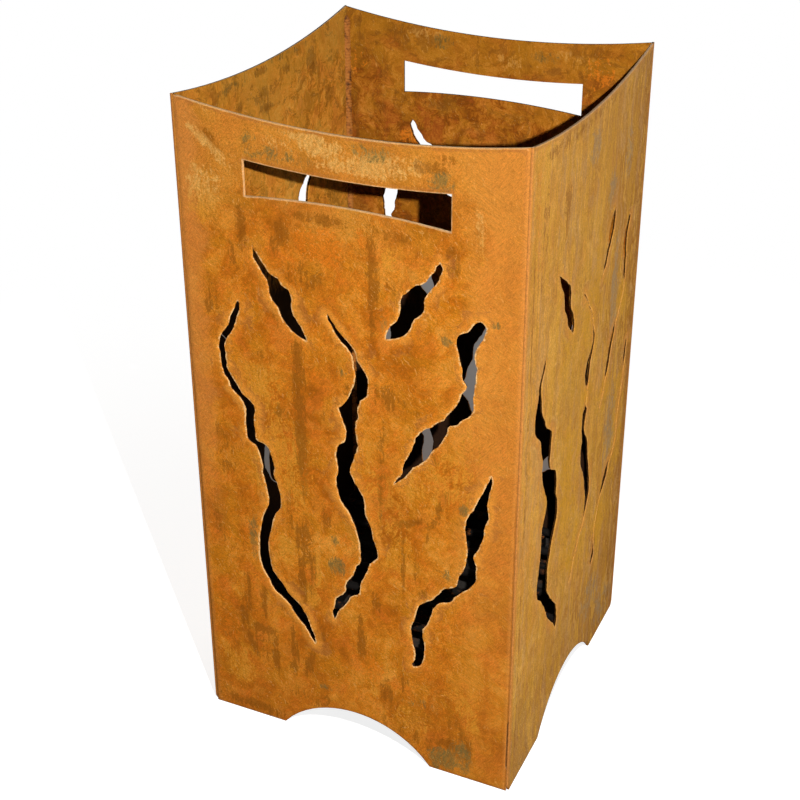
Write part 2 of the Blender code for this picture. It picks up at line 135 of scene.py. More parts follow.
class BarrelStageSettings(bpy.types.PropertyGroup):
    """Lamps, floor and background."""

    key: share("Key lamp", "Strength of the lamp at the front right", 1.0, 10.0)
    fill: share("Side lamps", "Strength of the soft lamps round the barrel", 1.0, 10.0)
    sky: share("Sky", "Strength of the light from all round", 0.03, 4.0)
    lamp_radius: length("Lamp radius", "Radius of the key lamp, which softens its shadows", 0.004, 1.0)
    floor: colour("Floor", "Colour of the floor as it lights the barrel", (190, 188, 184))
    background: colour("Background", "Colour that the camera sees round the barrel", (255, 255, 255))


# Finishes


class Wire:
    """The output of a node. Sums and products of wires add Math nodes."""

    def __init__(self, finish, socket):
        self.finish = finish
        self.socket = socket

    def math(self, operation, *values):
        return self.finish.node("ShaderNodeMath", {"operation": operation}, dict(enumerate(values)))

    def __add__(self, other):
        return self.math("ADD", self, other)

    def __sub__(self, other):
        return self.math("SUBTRACT", self, other)

    def __mul__(self, other):
        return self.math("MULTIPLY", self, other)

    def __rsub__(self, other):
        return self.math("SUBTRACT", other, self)

    __radd__ = __add__
    __rmul__ = __mul__

    def most(self, other):
        return self.math("MAXIMUM", self, other)

    def bend(self):
        return self.math("ABSOLUTE", self)

    def rise(self, low, high):
        """0 below low, 1 above high, and a smooth rise between. Low above high makes it a fall."""
        return self.finish.node(
            "ShaderNodeMapRange",
            {"interpolation_type": "SMOOTHSTEP"},
            {"Value": self, "From Min": low, "From Max": high},
        )


class Finish:
    """A material made of nodes. Its patterns are in millimetres of the object's own space."""

    def __init__(self, name, roughness=0.85, gloss=0.12):
        self.material = bpy.data.materials.new(name)
        self.material.use_nodes = True
        self.tree = self.material.node_tree
        self.tree.nodes.clear()
        self.shader = self.tree.nodes.new("ShaderNodeBsdfPrincipled")
        output = self.tree.nodes.new("ShaderNodeOutputMaterial")
        self.tree.links.new(self.shader.outputs[0], output.inputs["Surface"])
        self.shader.inputs["Roughness"].default_value = roughness
        self.shader.inputs["Specular IOR Level"].default_value = gloss
        coordinates = self.node("ShaderNodeTexCoord", out="Object")
        self.place = self.vector("MULTIPLY", coordinates, (MM_PER_METRE,) * 3)

    def node(self, kind, settings=None, inputs=None, out=0):
        """A new node: its settings first, then the values or links of its sockets. Returns an output."""
        made = self.tree.nodes.new(kind)
        for key, value in (settings or {}).items():
            if key == "stops":
                ramp = made.color_ramp.elements
                while len(ramp) < len(value):
                    ramp.new(1.0)
                for element, (position, shade) in zip(ramp, value):
                    element.position = position
                    element.color = (*shade, 1.0)
            else:
                setattr(made, key, value)
        for key, value in (inputs or {}).items():
            socket = made.inputs[key]
            if isinstance(value, Wire):
                self.tree.links.new(value.socket, socket)
            elif socket.type == "RGBA":
                socket.default_value = (*value, 1.0)
            else:
                socket.default_value = value
        return Wire(self, made.outputs[out])

    def vector(self, operation, *values, out=0):
        return self.node("ShaderNodeVectorMath", {"operation": operation}, dict(enumerate(values)), out)

    def cloud(self, at, size, detail=4.0, roughness=0.55, distortion=0.0):
        """Noise whose patches are about size millimetres across."""
        sockets = {"Vector": at, "Scale": 1.0 / size, "Detail": detail}
        sockets.update({"Roughness": roughness, "Distortion": distortion})
        return self.node("ShaderNodeTexNoise", inputs=sockets)

    def stretched(self, at, factors, turn=(0.0, 0.0, 0.0)):
        """The same place with each axis turned and then squeezed, for grain and runs."""
        turned = self.node(
            "ShaderNodeVectorRotate", {"rotation_type": "EULER_XYZ"}, {"Vector": at, "Rotation": turn}
        )
        return self.vector("MULTIPLY", turned, factors)

    def mix(self, factor, first, second):
        """Two colours, mixed by a factor."""
        return self.node("ShaderNodeMix", {"data_type": "RGBA"}, {0: factor, 6: first, 7: second}, out=2)

    def coats(self, base, *layers):
        """The base with colour after colour laid over it, each by its own factor."""
        for factor, shade in layers:
            base = self.mix(factor, base, shade)
        return base

    def attribute(self, name, out="Fac"):
        return self.node("ShaderNodeAttribute", {"attribute_name": name}, out=out)

    def shade_by(self, shade, value):
        """The colour made lighter or darker by a value round 1."""
        return self.node("ShaderNodeHueSaturation", inputs={"Value": value, "Color": shade})

    def finish(self, base, roughness, height, depth):
        """Links what varies over the surface. Depth is the height's full range in metres."""
        links = self.tree.links
        links.new(base.socket, self.shader.inputs["Base Color"])
        links.new(roughness.socket, self.shader.inputs["Roughness"])
        bump = self.node("ShaderNodeBump", inputs={"Strength": 0.5, "Distance": depth, "Height": height})
        links.new(bump.socket, self.shader.inputs["Normal"])
        return self.material


class SheetFinish(Finish):
    """The finish of a sheet, with the patterns that its layers of rust share."""

    def __init__(self, name, brushed):
        super().__init__(name, gloss=0.02)
        place = self.place
        drift = 34.0
        wander = self.node(
            "ShaderNodeTexNoise", inputs={"Vector": place, "Scale": 1 / drift, "Detail": 4.0}, out="Color"
        )
        self.moved = self.vector("MULTIPLY_ADD", wander, (drift, drift, drift), place)
        self.big = self.cloud(self.moved, 64, 5, 0.6)
        self.middle = self.cloud(self.moved, 15, 6, 0.66)
        self.hue = self.cloud(self.shifted(310.0, 120.0, 40.0), 34, 5, 0.62)
        self.curl = self.cloud(self.shifted(70.0, 20.0, 210.0), 8, 4, 0.6, 2.2)
        self.islands = self.cloud(self.shifted(20.0, 260.0, 90.0), 24, 7, 0.7, 0.8)
        self.fine = self.cloud(place, 2.6, 4, 0.7)
        self.dust = self.cloud(place, 0.8, 2, 0.6)
        self.runs = self.cloud(self.stretched(self.moved, (1.0, 1.0, 0.06)), 11, 4, 0.62)
        self.threads = self.cloud(self.stretched(place, (1.0, 1.0, 0.05), (0.0, 0.02, 0.0)), 3.4, 3, 0.6)
        self.strokes = self.cloud(self.stretched(self.moved, (1.0, 1.0, 0.14)), 2.2, 3, 0.6)
        self.across, self.rearward, self.height = [
            self.node("ShaderNodeSeparateXYZ", inputs={0: place}, out=axis) for axis in range(3)
        ]
        self.inside = self.attribute("inside")
        self.inner_face = self.inside.rise(0.85, 0.95)
        self.outer_face = self.inside.rise(0.1, 0.03)
        self.edge = self.attribute("from_edge")
        self.lip = self.attribute("from_cut")
        one_way, other_way = [
            self.cloud(self.stretched(place, (1.0, 1.0, 0.14), turn), 1.1, 2, 0.6) for turn in brushed
        ]
        swapped = (self.hue + (self.fine - 0.5) * 0.3).rise(0.48, 0.52)
        self.grain = one_way * swapped + other_way * (1.0 - swapped)

    def shifted(self, *by):
        """The wandering place, shifted so that a pattern there has nothing in common with the others."""
        return self.vector("ADD", self.moved, by)


def outer_rust(f, tones, streaks):
    """The mottled rust of an outer face, darker or paler in patches and towards the rim, and darker towards
    the feet as painted shade where the light falls off.
    """
    tone = (f.big - 0.5) * 1.5 + (f.middle - 0.5) + (f.runs - 0.5) * streaks + (f.curl - 0.5) * 0.4 + 0.5
    isle_edge = (f.islands - 0.528).bend().rise(0.010, 0.003) * f.hue.rise(0.46, 0.52)
    low = (f.height + (f.big - 0.5) * 200 + (f.runs - 0.5) * 120).rise(170.0, -20.0)
    return f.coats(
        f.node("ShaderNodeValToRGB", {"stops": tones["ramp"]}, {"Fac": tone}),
        (f.hue.rise(0.49, 0.62) * 0.5, tones["olive"]),
        (f.hue.rise(0.47, 0.36) * 0.5, tones["red"]),
        (f.islands.rise(0.53, 0.556) * 0.2, tones["pale"]),
        (isle_edge * 0.38, tones["dark"]),
        (f.islands.rise(0.47, 0.452) * 0.2, tones["dark"]),
        ((f.height + (f.big - 0.5) * 200).rise(545.0, 650.0) * 0.5, tones["top"]),
        # Painted shade: the foot tone darkens the lower sheet where less light reaches it.
        (low * tones["low"], tones["foot"]),
    )


def plain_margins(f, rust, tones):
    """Calmer rust up the left and right margins of the front. Returns it with how calm each place is."""
    wandered = f.across + (f.big - 0.5) * 70
    right = wandered.rise(100.0, 138.0)
    left = wandered.rise(-142.0, -160.0) * f.height.rise(180.0, 400.0)
    rust = f.coats(
        rust,
        (right * (f.height.rise(40.0, 420.0) * 0.48 + 0.1), tones["margin"]),
        (left * 0.6, tones["margin_left"]),
    )
    return rust, right.most(left)


def side_runs(f, rust, tones):
    """The painted shade of a side sheet away from the front and its painted light near the front, and the
    runs of rain down it.
    """
    ahead = f.across * f.rearward * (1 / 174)
    rain = f.cloud(f.stretched(f.shifted(150.0, 80.0, 0.0), (1.0, 1.0, 0.06)), 14, 4, 0.62)
    threads = f.threads - 0.5
    return f.coats(
        rust,
        # Painted shade towards the back of a side sheet, and painted light towards its front, for the fall
        # of the light across it.
        (ahead.rise(-175.0, 175.0) * 0.36, tones["shade"]),
        (ahead.rise(50.0, 165.0) * 0.55, tones["shade"]),
        (ahead.rise(-70.0, -170.0) * f.height.rise(120.0, 300.0) * 0.42, tones["near"]),
        ((f.runs + threads * 0.4).rise(0.51, 0.57) * 0.6, tones["run"]),
        ((f.runs + threads * 0.5).rise(0.47, 0.41) * 0.6, tones["gold"]),
        ((rain + threads * 0.4).rise(0.54, 0.61) * 0.45, tones["lavender"]),
        ((rain + threads * 0.6).rise(0.46, 0.42) * 0.4, tones["mustard"]),
    )


def inner_rust(f, tones, settings):
    """The browner, blotched and veined rust of an inner face."""
    tone = (f.middle - 0.5) * 1.7 + (f.curl - 0.5) * 1.5 + (f.big - 0.5) * 1.2 + (f.runs - 0.5) * 0.5 + 0.5
    veins = (f.curl - 0.5).bend().rise(0.022, 0.006) * f.middle.rise(0.47, 0.53)
    veins = veins * f.height.rise(430.0, 620.0)
    return f.coats(
        f.node("ShaderNodeValToRGB", {"stops": tones["inner_ramp"]}, {"Fac": tone}),
        (f.hue.rise(0.5, 0.58) * 0.4, tones["inner_olive"]),
        (f.hue.rise(0.48, 0.4) * 0.5, tones["inner_red"]),
        ((f.height + (f.big - 0.5) * 260).rise(600.0, 690.0) * 0.55, tones["inner_olive"]),
        (veins * 0.45, tones["vein"]),
        (f.islands.rise(0.452, 0.435) * 0.4, tuple(settings.inside_dark)),
    )


def stains(f, base, tones, settings):
    """The sheet's own marks, made ragged. Returns the base with them and how gold each place is."""
    marks = f.attribute("marks", "Color")
    ragged = (f.middle - 0.5) * 2.2 + (f.fine - 0.5) * 1.4 + (f.threads - 0.5) * 1.4
    ragged = ragged + (f.strokes - 0.5) * 1.4 + (f.curl - 0.5) * 1.2
    channels = [
        f.node("ShaderNodeSeparateColor", inputs={"Color": marks}, out=channel) for channel in range(3)
    ]
    brown, grey, gold, fresh = [
        (channel + ragged * channel.rise(0.0, 0.3)).rise(low, high)
        for channel, low, high in zip(
            (*channels, f.attribute("marks", "Alpha")), (0.26, 0.16, 0.2, 0.4), (0.74, 0.88, 0.86, 0.56)
        )
    ]
    golden = f.mix(f.height.rise(585.0, 625.0), tones["mustard"], tones["gold"])
    dark = f.mix(f.inner_face, tones["dark"], tuple(settings.inside_dark))
    scale = f.mix(f.inner_face, tones["grey"], tones["inner_grey"])
    base = f.coats(
        base,
        (gold * (f.strokes.rise(0.42, 0.58) * 0.4 + 0.5) * (1.0 - f.inner_face * 0.6), golden),
        (fresh * 0.6, tones["fresh"]),
        (brown * (0.74 - f.inner_face * 0.22), dark),
        (grey * (f.strokes.rise(0.4, 0.6) * 0.35 + f.middle.rise(0.4, 0.56) * 0.2 + 0.4), scale),
    )
    return base, gold


def specks_soot_and_shade(f, base, tones, settings, busy):
    """Fine specks and scratches, as dense as the place is busy, and soot inside round the fire, which is
    also the painted shade that darkens the barrel deep inside.
    """
    specks = f.cloud(f.vector("ADD", f.place, (40.0, 90.0, 70.0)), 1.6, 3, 0.7)
    hairlines = f.cloud(f.stretched(f.moved, (1.0, 1.0, 0.1), (0.0, radians(24), 0.0)), 1.5, 2, 0.5)
    soot_and_shade_level = f.height + f.rearward * 0.38 + f.across * 0.18 + (f.big - 0.5) * 160 + (f.runs - 0.5) * 70
    return f.coats(
        base,
        (specks.rise(0.54, 0.68) * f.big.rise(0.4, 0.6) * busy * 0.4, tones["pale"]),
        (specks.rise(0.45, 0.3) * busy * 0.45, tones["dark"]),
        (hairlines.rise(0.63, 0.69) * f.hue.rise(0.44, 0.52) * busy * 0.4, tones["scratch"]),
        (hairlines.rise(0.37, 0.31) * busy * 0.35, tones["dark"]),
        # Soot and painted shade: the inner faces go near black deep inside the barrel.
        (soot_and_shade_level.rise(470.0, 405.0) * f.inner_face * 0.96, tuple(settings.soot)),
    )


def torn_lips(f, base, tones, settings, gold):
    """Fresh rust and a tide line round every torn cut, gold where it has closed, and its bare lip, whose
    pale line is partly a painted highlight on the cut's edge.
    """
    fine, outer = f.fine - 0.5, f.outer_face
    ragged = f.lip + (f.big - 0.5) * 50.0 + (f.middle - 0.5) * 44.0 + fine * 8.0
    tide = ragged.rise(12.0, 9.0) * outer * f.hue.rise(0.47, 0.56)
    glow = ragged.rise(7.5, 1.0) * f.lip.rise(13.0, 2.0) * (f.hue.rise(0.42, 0.54) * 0.5 + 0.5) * outer
    mended = gold.rise(0.35, 0.7) * (f.lip + fine * 1.4).rise(1.9, 0.9) * outer * (1.0 - tones["bare"])
    bare = (f.lip + fine * 2.0).rise(1.3, 0.5) * (f.curl + (f.middle - 0.5) * 0.8).rise(0.42, 0.56) * outer
    return f.coats(
        base,
        (tide * ragged.rise(7.5, 9.0) * 0.35, tones["pale"]),
        (tide * ragged.rise(9.0, 7.0) * 0.45, tones["band"]),
        (glow * tones["heat"], tuple(settings.glow)),
        (mended, f.mix(f.dust.rise(0.46, 0.5), tones["dark"], tones["mended"])),
        # The bare lip: partly bare steel, partly a painted highlight along the cut's edge.
        (bare * tones["bare"], tuple(settings.lip)),
    )


def seams_and_arrises(f, base, tones):
    """Lines where the sheet ends: the corner seams, a band of painted shade under the rim, and the worn
    arris, which carries the rim colour of painted highlight or shade and is dark low down.
    """
    fine, outer = f.fine - 0.5, f.outer_face
    corner = (0.0 - f.across.bend()).most(0.0 - f.rearward.bend())
    at_corner = corner.rise(-167.0, -172.0)
    lit_seam = (f.edge + fine * 3.0).rise(6.5, 0.5) * corner.rise(-158.0, -168.0)
    low = (f.height + (f.big - 0.5) * 400).rise(430.0, 300.0)
    dark_seam = low * at_corner * (f.edge + fine).rise(1.8, 0.8)
    away = 1.0 - at_corner
    near_rim = f.height.rise(638.0, 650.0) * outer * (f.middle + fine * 0.5).rise(0.4, 0.54) * away
    band = f.edge.rise(1.0, 1.7) * (f.edge + (f.middle - 0.5) * 8.0).rise(4.8, 3.0)
    arris = (f.edge + (f.middle - 0.5) * 2.4).rise(1.5, 0.5) * away
    return f.coats(
        base,
        (lit_seam * outer * 0.6, tones["seam"]),
        (dark_seam * outer * 0.55, tones["dark"]),
        # Painted shade: a band just under the rim.
        (band * near_rim * 0.6, tones["band"]),
        # The arris takes the sheet's rim colour, a painted highlight on the front and side sheets and
        # painted shade on the back one, and the dark tone near the ground.
        (arris * outer * 0.42, f.mix(f.height.rise(100.0, 200.0), tones["dark"], tones["rim"])),
    )


def sheet_thickness(f, base, tones, gold):
    """The thickness of the sheet: its rims and ends, pale as a painted highlight on the front and right
    sheets and dark as painted shade on the back and left ones, and the walls inside the torn cuts, painted
    dark as shade.
    """
    worn = f.mix(f.middle.rise(0.42, 0.58), tones["wall"], tones["wall_dark"])
    # Painted shade: the deeper walls of the torn cuts are painted near black, save where dross has closed a
    # cut.
    worn = f.mix(f.inside.rise(0.18, 0.4) * (1.0 - gold.rise(0.1, 0.35)) * 0.94, worn, tones["scorched"])
    # Upward faces take the rim colour: a painted highlight where the lamp lights the top edge, painted
    # shade on sheets turned away from it.
    normal = f.node("ShaderNodeNewGeometry", out="True Normal")
    upward = f.node("ShaderNodeSeparateXYZ", inputs={0: normal}, out=2).rise(0.3, 0.7)
    rim, end = tones["rim"], tones["end"]
    # The left sheet's rim and ends take the dark colours of painted shade.
    if "far_rim" in tones:
        near_side = f.across.rise(-60.0, 60.0)
        rim = f.mix(near_side, f.mix(f.inside.rise(0.5, 0.7), tones["far_rim"], rim), rim)
        end = f.mix(near_side, tones["far_end"], end)
    worn = f.mix(f.edge.rise(1.5, 0.5), worn, f.mix(upward, end, rim))
    return f.mix(f.inside.rise(0.06, 0.14) * f.inside.rise(0.93, 0.86), base, worn)


def sheet_finish(name, settings, tones, brushed, streaks):
    """Rust on brushed sheet steel: mottling, runs, stains from the sheet's own marks, fresh rust along
    every torn cut, pale bare edges that are partly a painted highlight, painted light and shade on the
    sides, rims and feet, and a browner, blotched inner face that is sooty at the fire and painted dark as
    shade deep inside."""
    f = SheetFinish(name, brushed)
    rust = outer_rust(f, tones, streaks)
    calm = f.height * 0.0
    if "margin" in tones:
        rust, calm = plain_margins(f, rust, tones)
    if "run" in tones:
        rust = side_runs(f, rust, tones)
    busy = 1.0 - (calm * 0.35).most(f.inner_face * 0.5)
    base, gold = stains(f, f.mix(f.inner_face, rust, inner_rust(f, tones, settings)), tones, settings)
    base = specks_soot_and_shade(f, base, tones, settings, busy)
    base = torn_lips(f, base, tones, settings, gold)
    base = seams_and_arrises(f, base, tones)
    base = sheet_thickness(f, base, tones, gold)
    speckle = (f.fine - 0.5) * 0.7 + (f.dust - 0.5) * 1.1 + (f.grain - 0.5) * (0.55 + calm * 0.5)
    lift = f.fine * 0.6 + f.dust * 0.3 + f.grain * 0.3 + f.middle * 0.5 + f.curl * 0.2
    lift = lift - f.lip.rise(2.2, 0.6) * 0.3
    return f.finish(f.shade_by(base, speckle * busy + 1.0), f.middle * 0.3 + 0.68, lift, 0.0012)


def weld_finish(settings):
    """A rusted bead: brown over black scale, with rust gathered between its ripples."""
    f = Finish("weld_rust", roughness=0.7)
    middle = f.cloud(f.place, 7, 4, 0.6)
    fine = f.cloud(f.place, 1.3, 3, 0.6)
    base = f.node(
        "ShaderNodeValToRGB",
        {"stops": ((0.36, tint(104, 62, 28)), (0.5, tuple(settings.bead)), (0.64, tint(176, 112, 48)))},
        {"Fac": middle},
    )
    pits = f.cloud(f.place, 16, 4, 0.7).rise(0.6, 0.68)
    base = f.mix(pits * 0.85, base, tuple(settings.pit))
    base = f.shade_by(base, fine * 0.5 + 0.75)
    return f.finish(base, fine * 0.3 + 0.55, fine + middle * 0.5, 0.0005)


def fire_finish(name, settings, main, rust_share, ash_share=0.0):
    """Steel that lives in the fire: scale, rust where the scale has flaked, and ash that clings."""
    f = Finish(name, roughness=0.8, gloss=0.08)
    big = f.cloud(f.place, 34, 4, 0.6)
    middle = f.cloud(f.place, 9, 5, 0.62)
    fine = f.cloud(f.place, 1.6, 3, 0.6)
    base = f.mix(middle.rise(0.35, 0.65), tuple(shade * 0.6 for shade in main), tuple(main))
    flaked = (big + (middle - 0.5) * 0.9 + rust_share * 0.2).rise(0.6, 0.72)
    base = f.mix(flaked * 0.85, base, tuple(settings.rust))
    base = f.mix((middle + (fine - 0.5) * 0.4).rise(0.58, 0.7) * flaked * 0.5, base, tint(156, 88, 36))
    if ash_share:
        drifts = f.cloud(f.place, 52, 5, 0.6) + (fine - 0.5) * 0.5 + ash_share * 0.25
        base = f.mix(drifts.rise(0.62, 0.8) * 0.8, base, tuple(settings.ash))
    base = f.shade_by(base, fine * 0.4 + 0.8)
    return f.finish(base, middle * 0.3 + 0.65, fine * 0.7 + middle, 0.0006)


# Pieces


def finished(name, shape, material, body, nodes=(), crease=40.0):
    """Turns the bmesh into a piece at the origin that rides on a body and replaces the CAD nodes."""
    mesh = bpy.data.meshes.new(name)
    shape.to_mesh(mesh)
    shape.free()
    mesh.shade_smooth()
    mesh.set_sharp_from_angle(angle=radians(crease))
    mesh.materials.append(material)
    piece = bpy.data.objects.new(name, mesh)
    bpy.context.scene.collection.objects.link(piece)
    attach(piece, body)
    if nodes:
        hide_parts(*nodes)
    return piece


def everything(shape):
    return shape.verts[:] + shape.edges[:] + shape.faces[:]


def outline_edges(shape, across):
    """The edges where a sheet's flat faces meet its thickness."""
    return [
        e
        for e in shape.edges
        if len(e.link_faces) == 2
        and e.calc_face_angle() > radians(60)
        and abs(e.verts[0].co[across] - e.verts[1].co[across]) < TINY
    ]


def loops(edges):
    """The edges sorted into the closed lines that they form."""
    at = {}
    for edge in edges:
        for vert in edge.verts:
            at.setdefault(vert, []).append(edge)
    left, found = set(edges), []
    while left:
        line, ahead = [], [left.pop()]
        while ahead:
            edge = ahead.pop()
            line.append(edge)
            for vert in edge.verts:
                for other in at[vert]:
                    if other in left:
                        left.remove(other)
                        ahead.append(other)
        found.append(line)
    return found


def width_of(line, along):
    places = [vert.co[along] for edge in line for vert in edge.verts]
    return max(places) - min(places)


def distances(lines, along, points):
    """Millimetres in the sheet's own plane from each point to the nearest of the lines."""
    pitch = 0.0004
    dots = []
    for start, end in lines:
        steps = max(1, int((end - start).length / pitch))
        dots += [start.lerp(end, step / steps) for step in range(steps)]
    tree = kdtree.KDTree(len(dots))
    for index, dot in enumerate(dots):
        tree.insert((dot[along], 0.0, dot.z), index)
    tree.balance()
    return [tree.find((point[along], 0.0, point.z))[2] * MM_PER_METRE for point in points]


def close_up(line):
    """Draws the two lips of a side sheet's cut together along the stretches that dross has closed."""
    spans = [sorted((e.verts[0].co.copy(), e.verts[1].co.copy()), key=lambda co: co.z) for e in line]
    spans.sort(key=str)
    verts = sorted({vert for edge in line for vert in edge.verts}, key=lambda vert: (vert.co.z, vert.co.y))
    places = [vert.co.copy() for vert in verts]
    u = np.array([place.y for place in places]) / BARREL_WIDTH + 0.5
    v = np.array([place.z for place in places]) / BARREL_HEIGHT
    closed = smooth_step(painted({"gold": CLOSED}, u, v)[:, MARK_KINDS.index("gold")] * 1.5)
    draw = 0.43
    for vert, here, share in zip(verts, places, closed):
        facing = [
            low.y + (high.y - low.y) * (here.z - low.z) / (high.z - low.z)
            for low, high in spans
            if low.z < here.z < high.z
        ]
        if facing:
            opposite = min(facing, key=lambda y: abs(y - here.y))
            vert.co.y += (opposite - here.y) * draw * float(share)


def cut_sheet(node, settings):
    """A copy of a CAD sheet with ragged cuts, rounded arrises and a grid of small cells. Returns it with
    its outline, as the lines of its torn cuts and those of its other edges."""
    low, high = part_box(node)
    across = 1 if high.y - low.y < high.x - low.x else 0
    along = 1 - across
    shape = bmesh.new()
    shape.from_mesh(NODES[node].data)
    bmesh.ops.remove_doubles(shape, verts=shape.verts, dist=TINY)
    bmesh.ops.dissolve_limit(shape, angle_limit=radians(0.1), verts=shape.verts, edges=shape.edges)
    shortest, longest, widest_cut = 0.0022, 0.02, 0.15
    halved = [e for e in outline_edges(shape, across) if shortest < e.calc_length() < longest]
    bmesh.ops.subdivide_edges(shape, edges=halved, cuts=1)
    torn, plain = [], []
    for line in loops(outline_edges(shape, across)):
        (torn if width_of(line, along) < widest_cut else plain).append(line)
    tear_lips({vert for line in torn for edge in line for vert in edge.verts}, across, low, high, settings)
    if along == 1:
        for line in torn:
            close_up(line)
    lines = [
        [(e.verts[0].co.copy(), e.verts[1].co.copy()) for line in group for e in line]
        for group in (torn, plain)
    ]
    bmesh.ops.bevel(
        shape,
        geom=outline_edges(shape, across),
        offset=settings.arris,
        offset_type="OFFSET",
        segments=2,
        profile=0.5,
        affect="EDGES",
        clamp_overlap=False,
        material=-1,
    )
    for axis in (2, along):
        count = round((high[axis] - low[axis]) / settings.cell)
        for step in range(1, count):
            at, normal = Vector(), Vector()
            at[axis] = low[axis] + (high[axis] - low[axis]) * step / count
            normal[axis] = 1.0
            bmesh.ops.bisect_plane(shape, geom=everything(shape), dist=1e-7, plane_co=at, plane_no=normal)
    bmesh.ops.triangulate(shape, faces=shape.faces, quad_method="BEAUTY", ngon_method="BEAUTY")
    return shape, lines


def tear_lips(verts, across, low, high, settings):
    """Widens the torn cuts towards the inner face, as a torch does, and makes their lips wander."""
    inner_face = low[across] if high[across] > 0 else high[across]
    shifts = {}
    for vert in verts:
        if abs(vert.co[across] - inner_face) < TINY:
            walls = [face.normal for face in vert.link_faces if abs(face.normal[across]) < 0.5]
            shifts[vert] = -sum(walls, Vector()).normalized() * settings.kerf
    for vert, shift in shifts.items():
        vert.co += shift
    wander, sinking = 0.0046, 0.6
    for vert in verts:
        at = Vector((vert.co[1 - across], 0.0, vert.co.z)) / wander
        vert.co[1 - across] += noise.noise(at) * settings.rag
        vert.co.z += noise.noise(at + Vector((7.3, 0.0, 2.1))) * settings.rag * sinking


def smooth_step(value):
    value = np.clip(value, 0.0, 1.0)
    return value * value * (3 - 2 * value)


def painted(marks, u, v):
    """One soft value a point for each kind of mark, from shares of the sheet's width and height."""
    values = np.zeros((len(u), len(MARK_KINDS)), np.float32)
    tall = BARREL_HEIGHT / BARREL_WIDTH
    solid, fading = 0.35, 1.1
    for channel, kind in enumerate(MARK_KINDS):
        for *sizes, lean, strength in marks.get(kind, ()):
            centre_u, centre_v, reach_u, reach_v = (size / MARK_STEPS for size in sizes)
            turn = radians(lean)
            du, dv = u - centre_u, (v - centre_v) * tall
            a = (du * cos(turn) + dv * sin(turn)) / reach_u
            b = (dv * cos(turn) - du * sin(turn)) / (reach_v * tall)
            value = strength * (1 - smooth_step((np.hypot(a, b) - solid) / fading))
            values[:, channel] = np.maximum(values[:, channel], value)
    return values


def dress_sheet(name, node, shape, lines, outward, marks, settings):
    """Warps a cut sheet by its heat, hangs the dross behind its cuts and writes what its rust reads: how
    far each point is from a cut and from an edge, whether it is inside, and its marks."""
    across = 1 if abs(outward.y) > 0.5 else 0
    along = 1 - across
    low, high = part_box(node)
    face = high[across] if outward[across] > 0 else low[across]
    points = [vert.co.copy() for vert in shape.verts]
    from_cut = np.array(distances(lines[0], along, points))
    from_edge = np.array(distances(lines[1], along, points))
    depth = np.array([abs(point[across] - face) for point in points])
    inside = np.clip(depth / SHEET_THICKNESS, 0.0, 1.0)
    side = Vector((-outward.y, outward.x, 0.0))
    u = np.array([point.dot(side) for point in points]) / BARREL_WIDTH + 0.5
    v = np.array([point.z for point in points]) / BARREL_HEIGHT
    held_by_edge, held_by_cut = 26, 9
    at_lip, back_face = 0.4, 0.97
    drop_size, waves_per_metre = 0.0042, 7.0
    loose = smooth_step(from_edge / held_by_edge) * (0.25 + 0.75 * smooth_step(from_cut / held_by_cut))
    for vert, point, slack, near, deep in zip(shape.verts, points, loose, from_cut, inside):
        at = Vector((point[along], 0.0, point.z)) * waves_per_metre
        at.y = outward.x + 2 * outward.y
        pull = settings.warp * slack * (0.5 + 0.5 * noise.noise(at))
        if deep > back_face and near < at_lip:
            pull += settings.dross * max(0.0, noise.noise(point / drop_size) - 0.05)
        vert.co -= outward * pull
    piece = finished(name, shape, sheet_materials(settings)[node], "barrel", (node,))
    for key, values in (("from_cut", from_cut), ("from_edge", from_edge), ("inside", inside)):
        layer = piece.data.attributes.new(key, "FLOAT", "POINT")
        layer.data.foreach_set("value", values.astype(np.float32))
    outer, inner = painted(marks[0], u, v), painted(marks[1], 1 - u, v)
    layer = piece.data.attributes.new("marks", "FLOAT_COLOR", "POINT")
    layer.data.foreach_set("color", np.where((inside > 0.5)[:, None], inner, outer).ravel())
    return piece


SHEET_SLOTS = {
    "front_panel": "front_rust",
    "back_panel": "back_rust",
    "left_panel": "side_rust",
    "right_panel": "side_rust",
}

# The kinds of mark, in the order of the colour attribute's channels.
MARK_KINDS = ("brown", "grey", "gold", "fresh")
MARK_STEPS = 1000
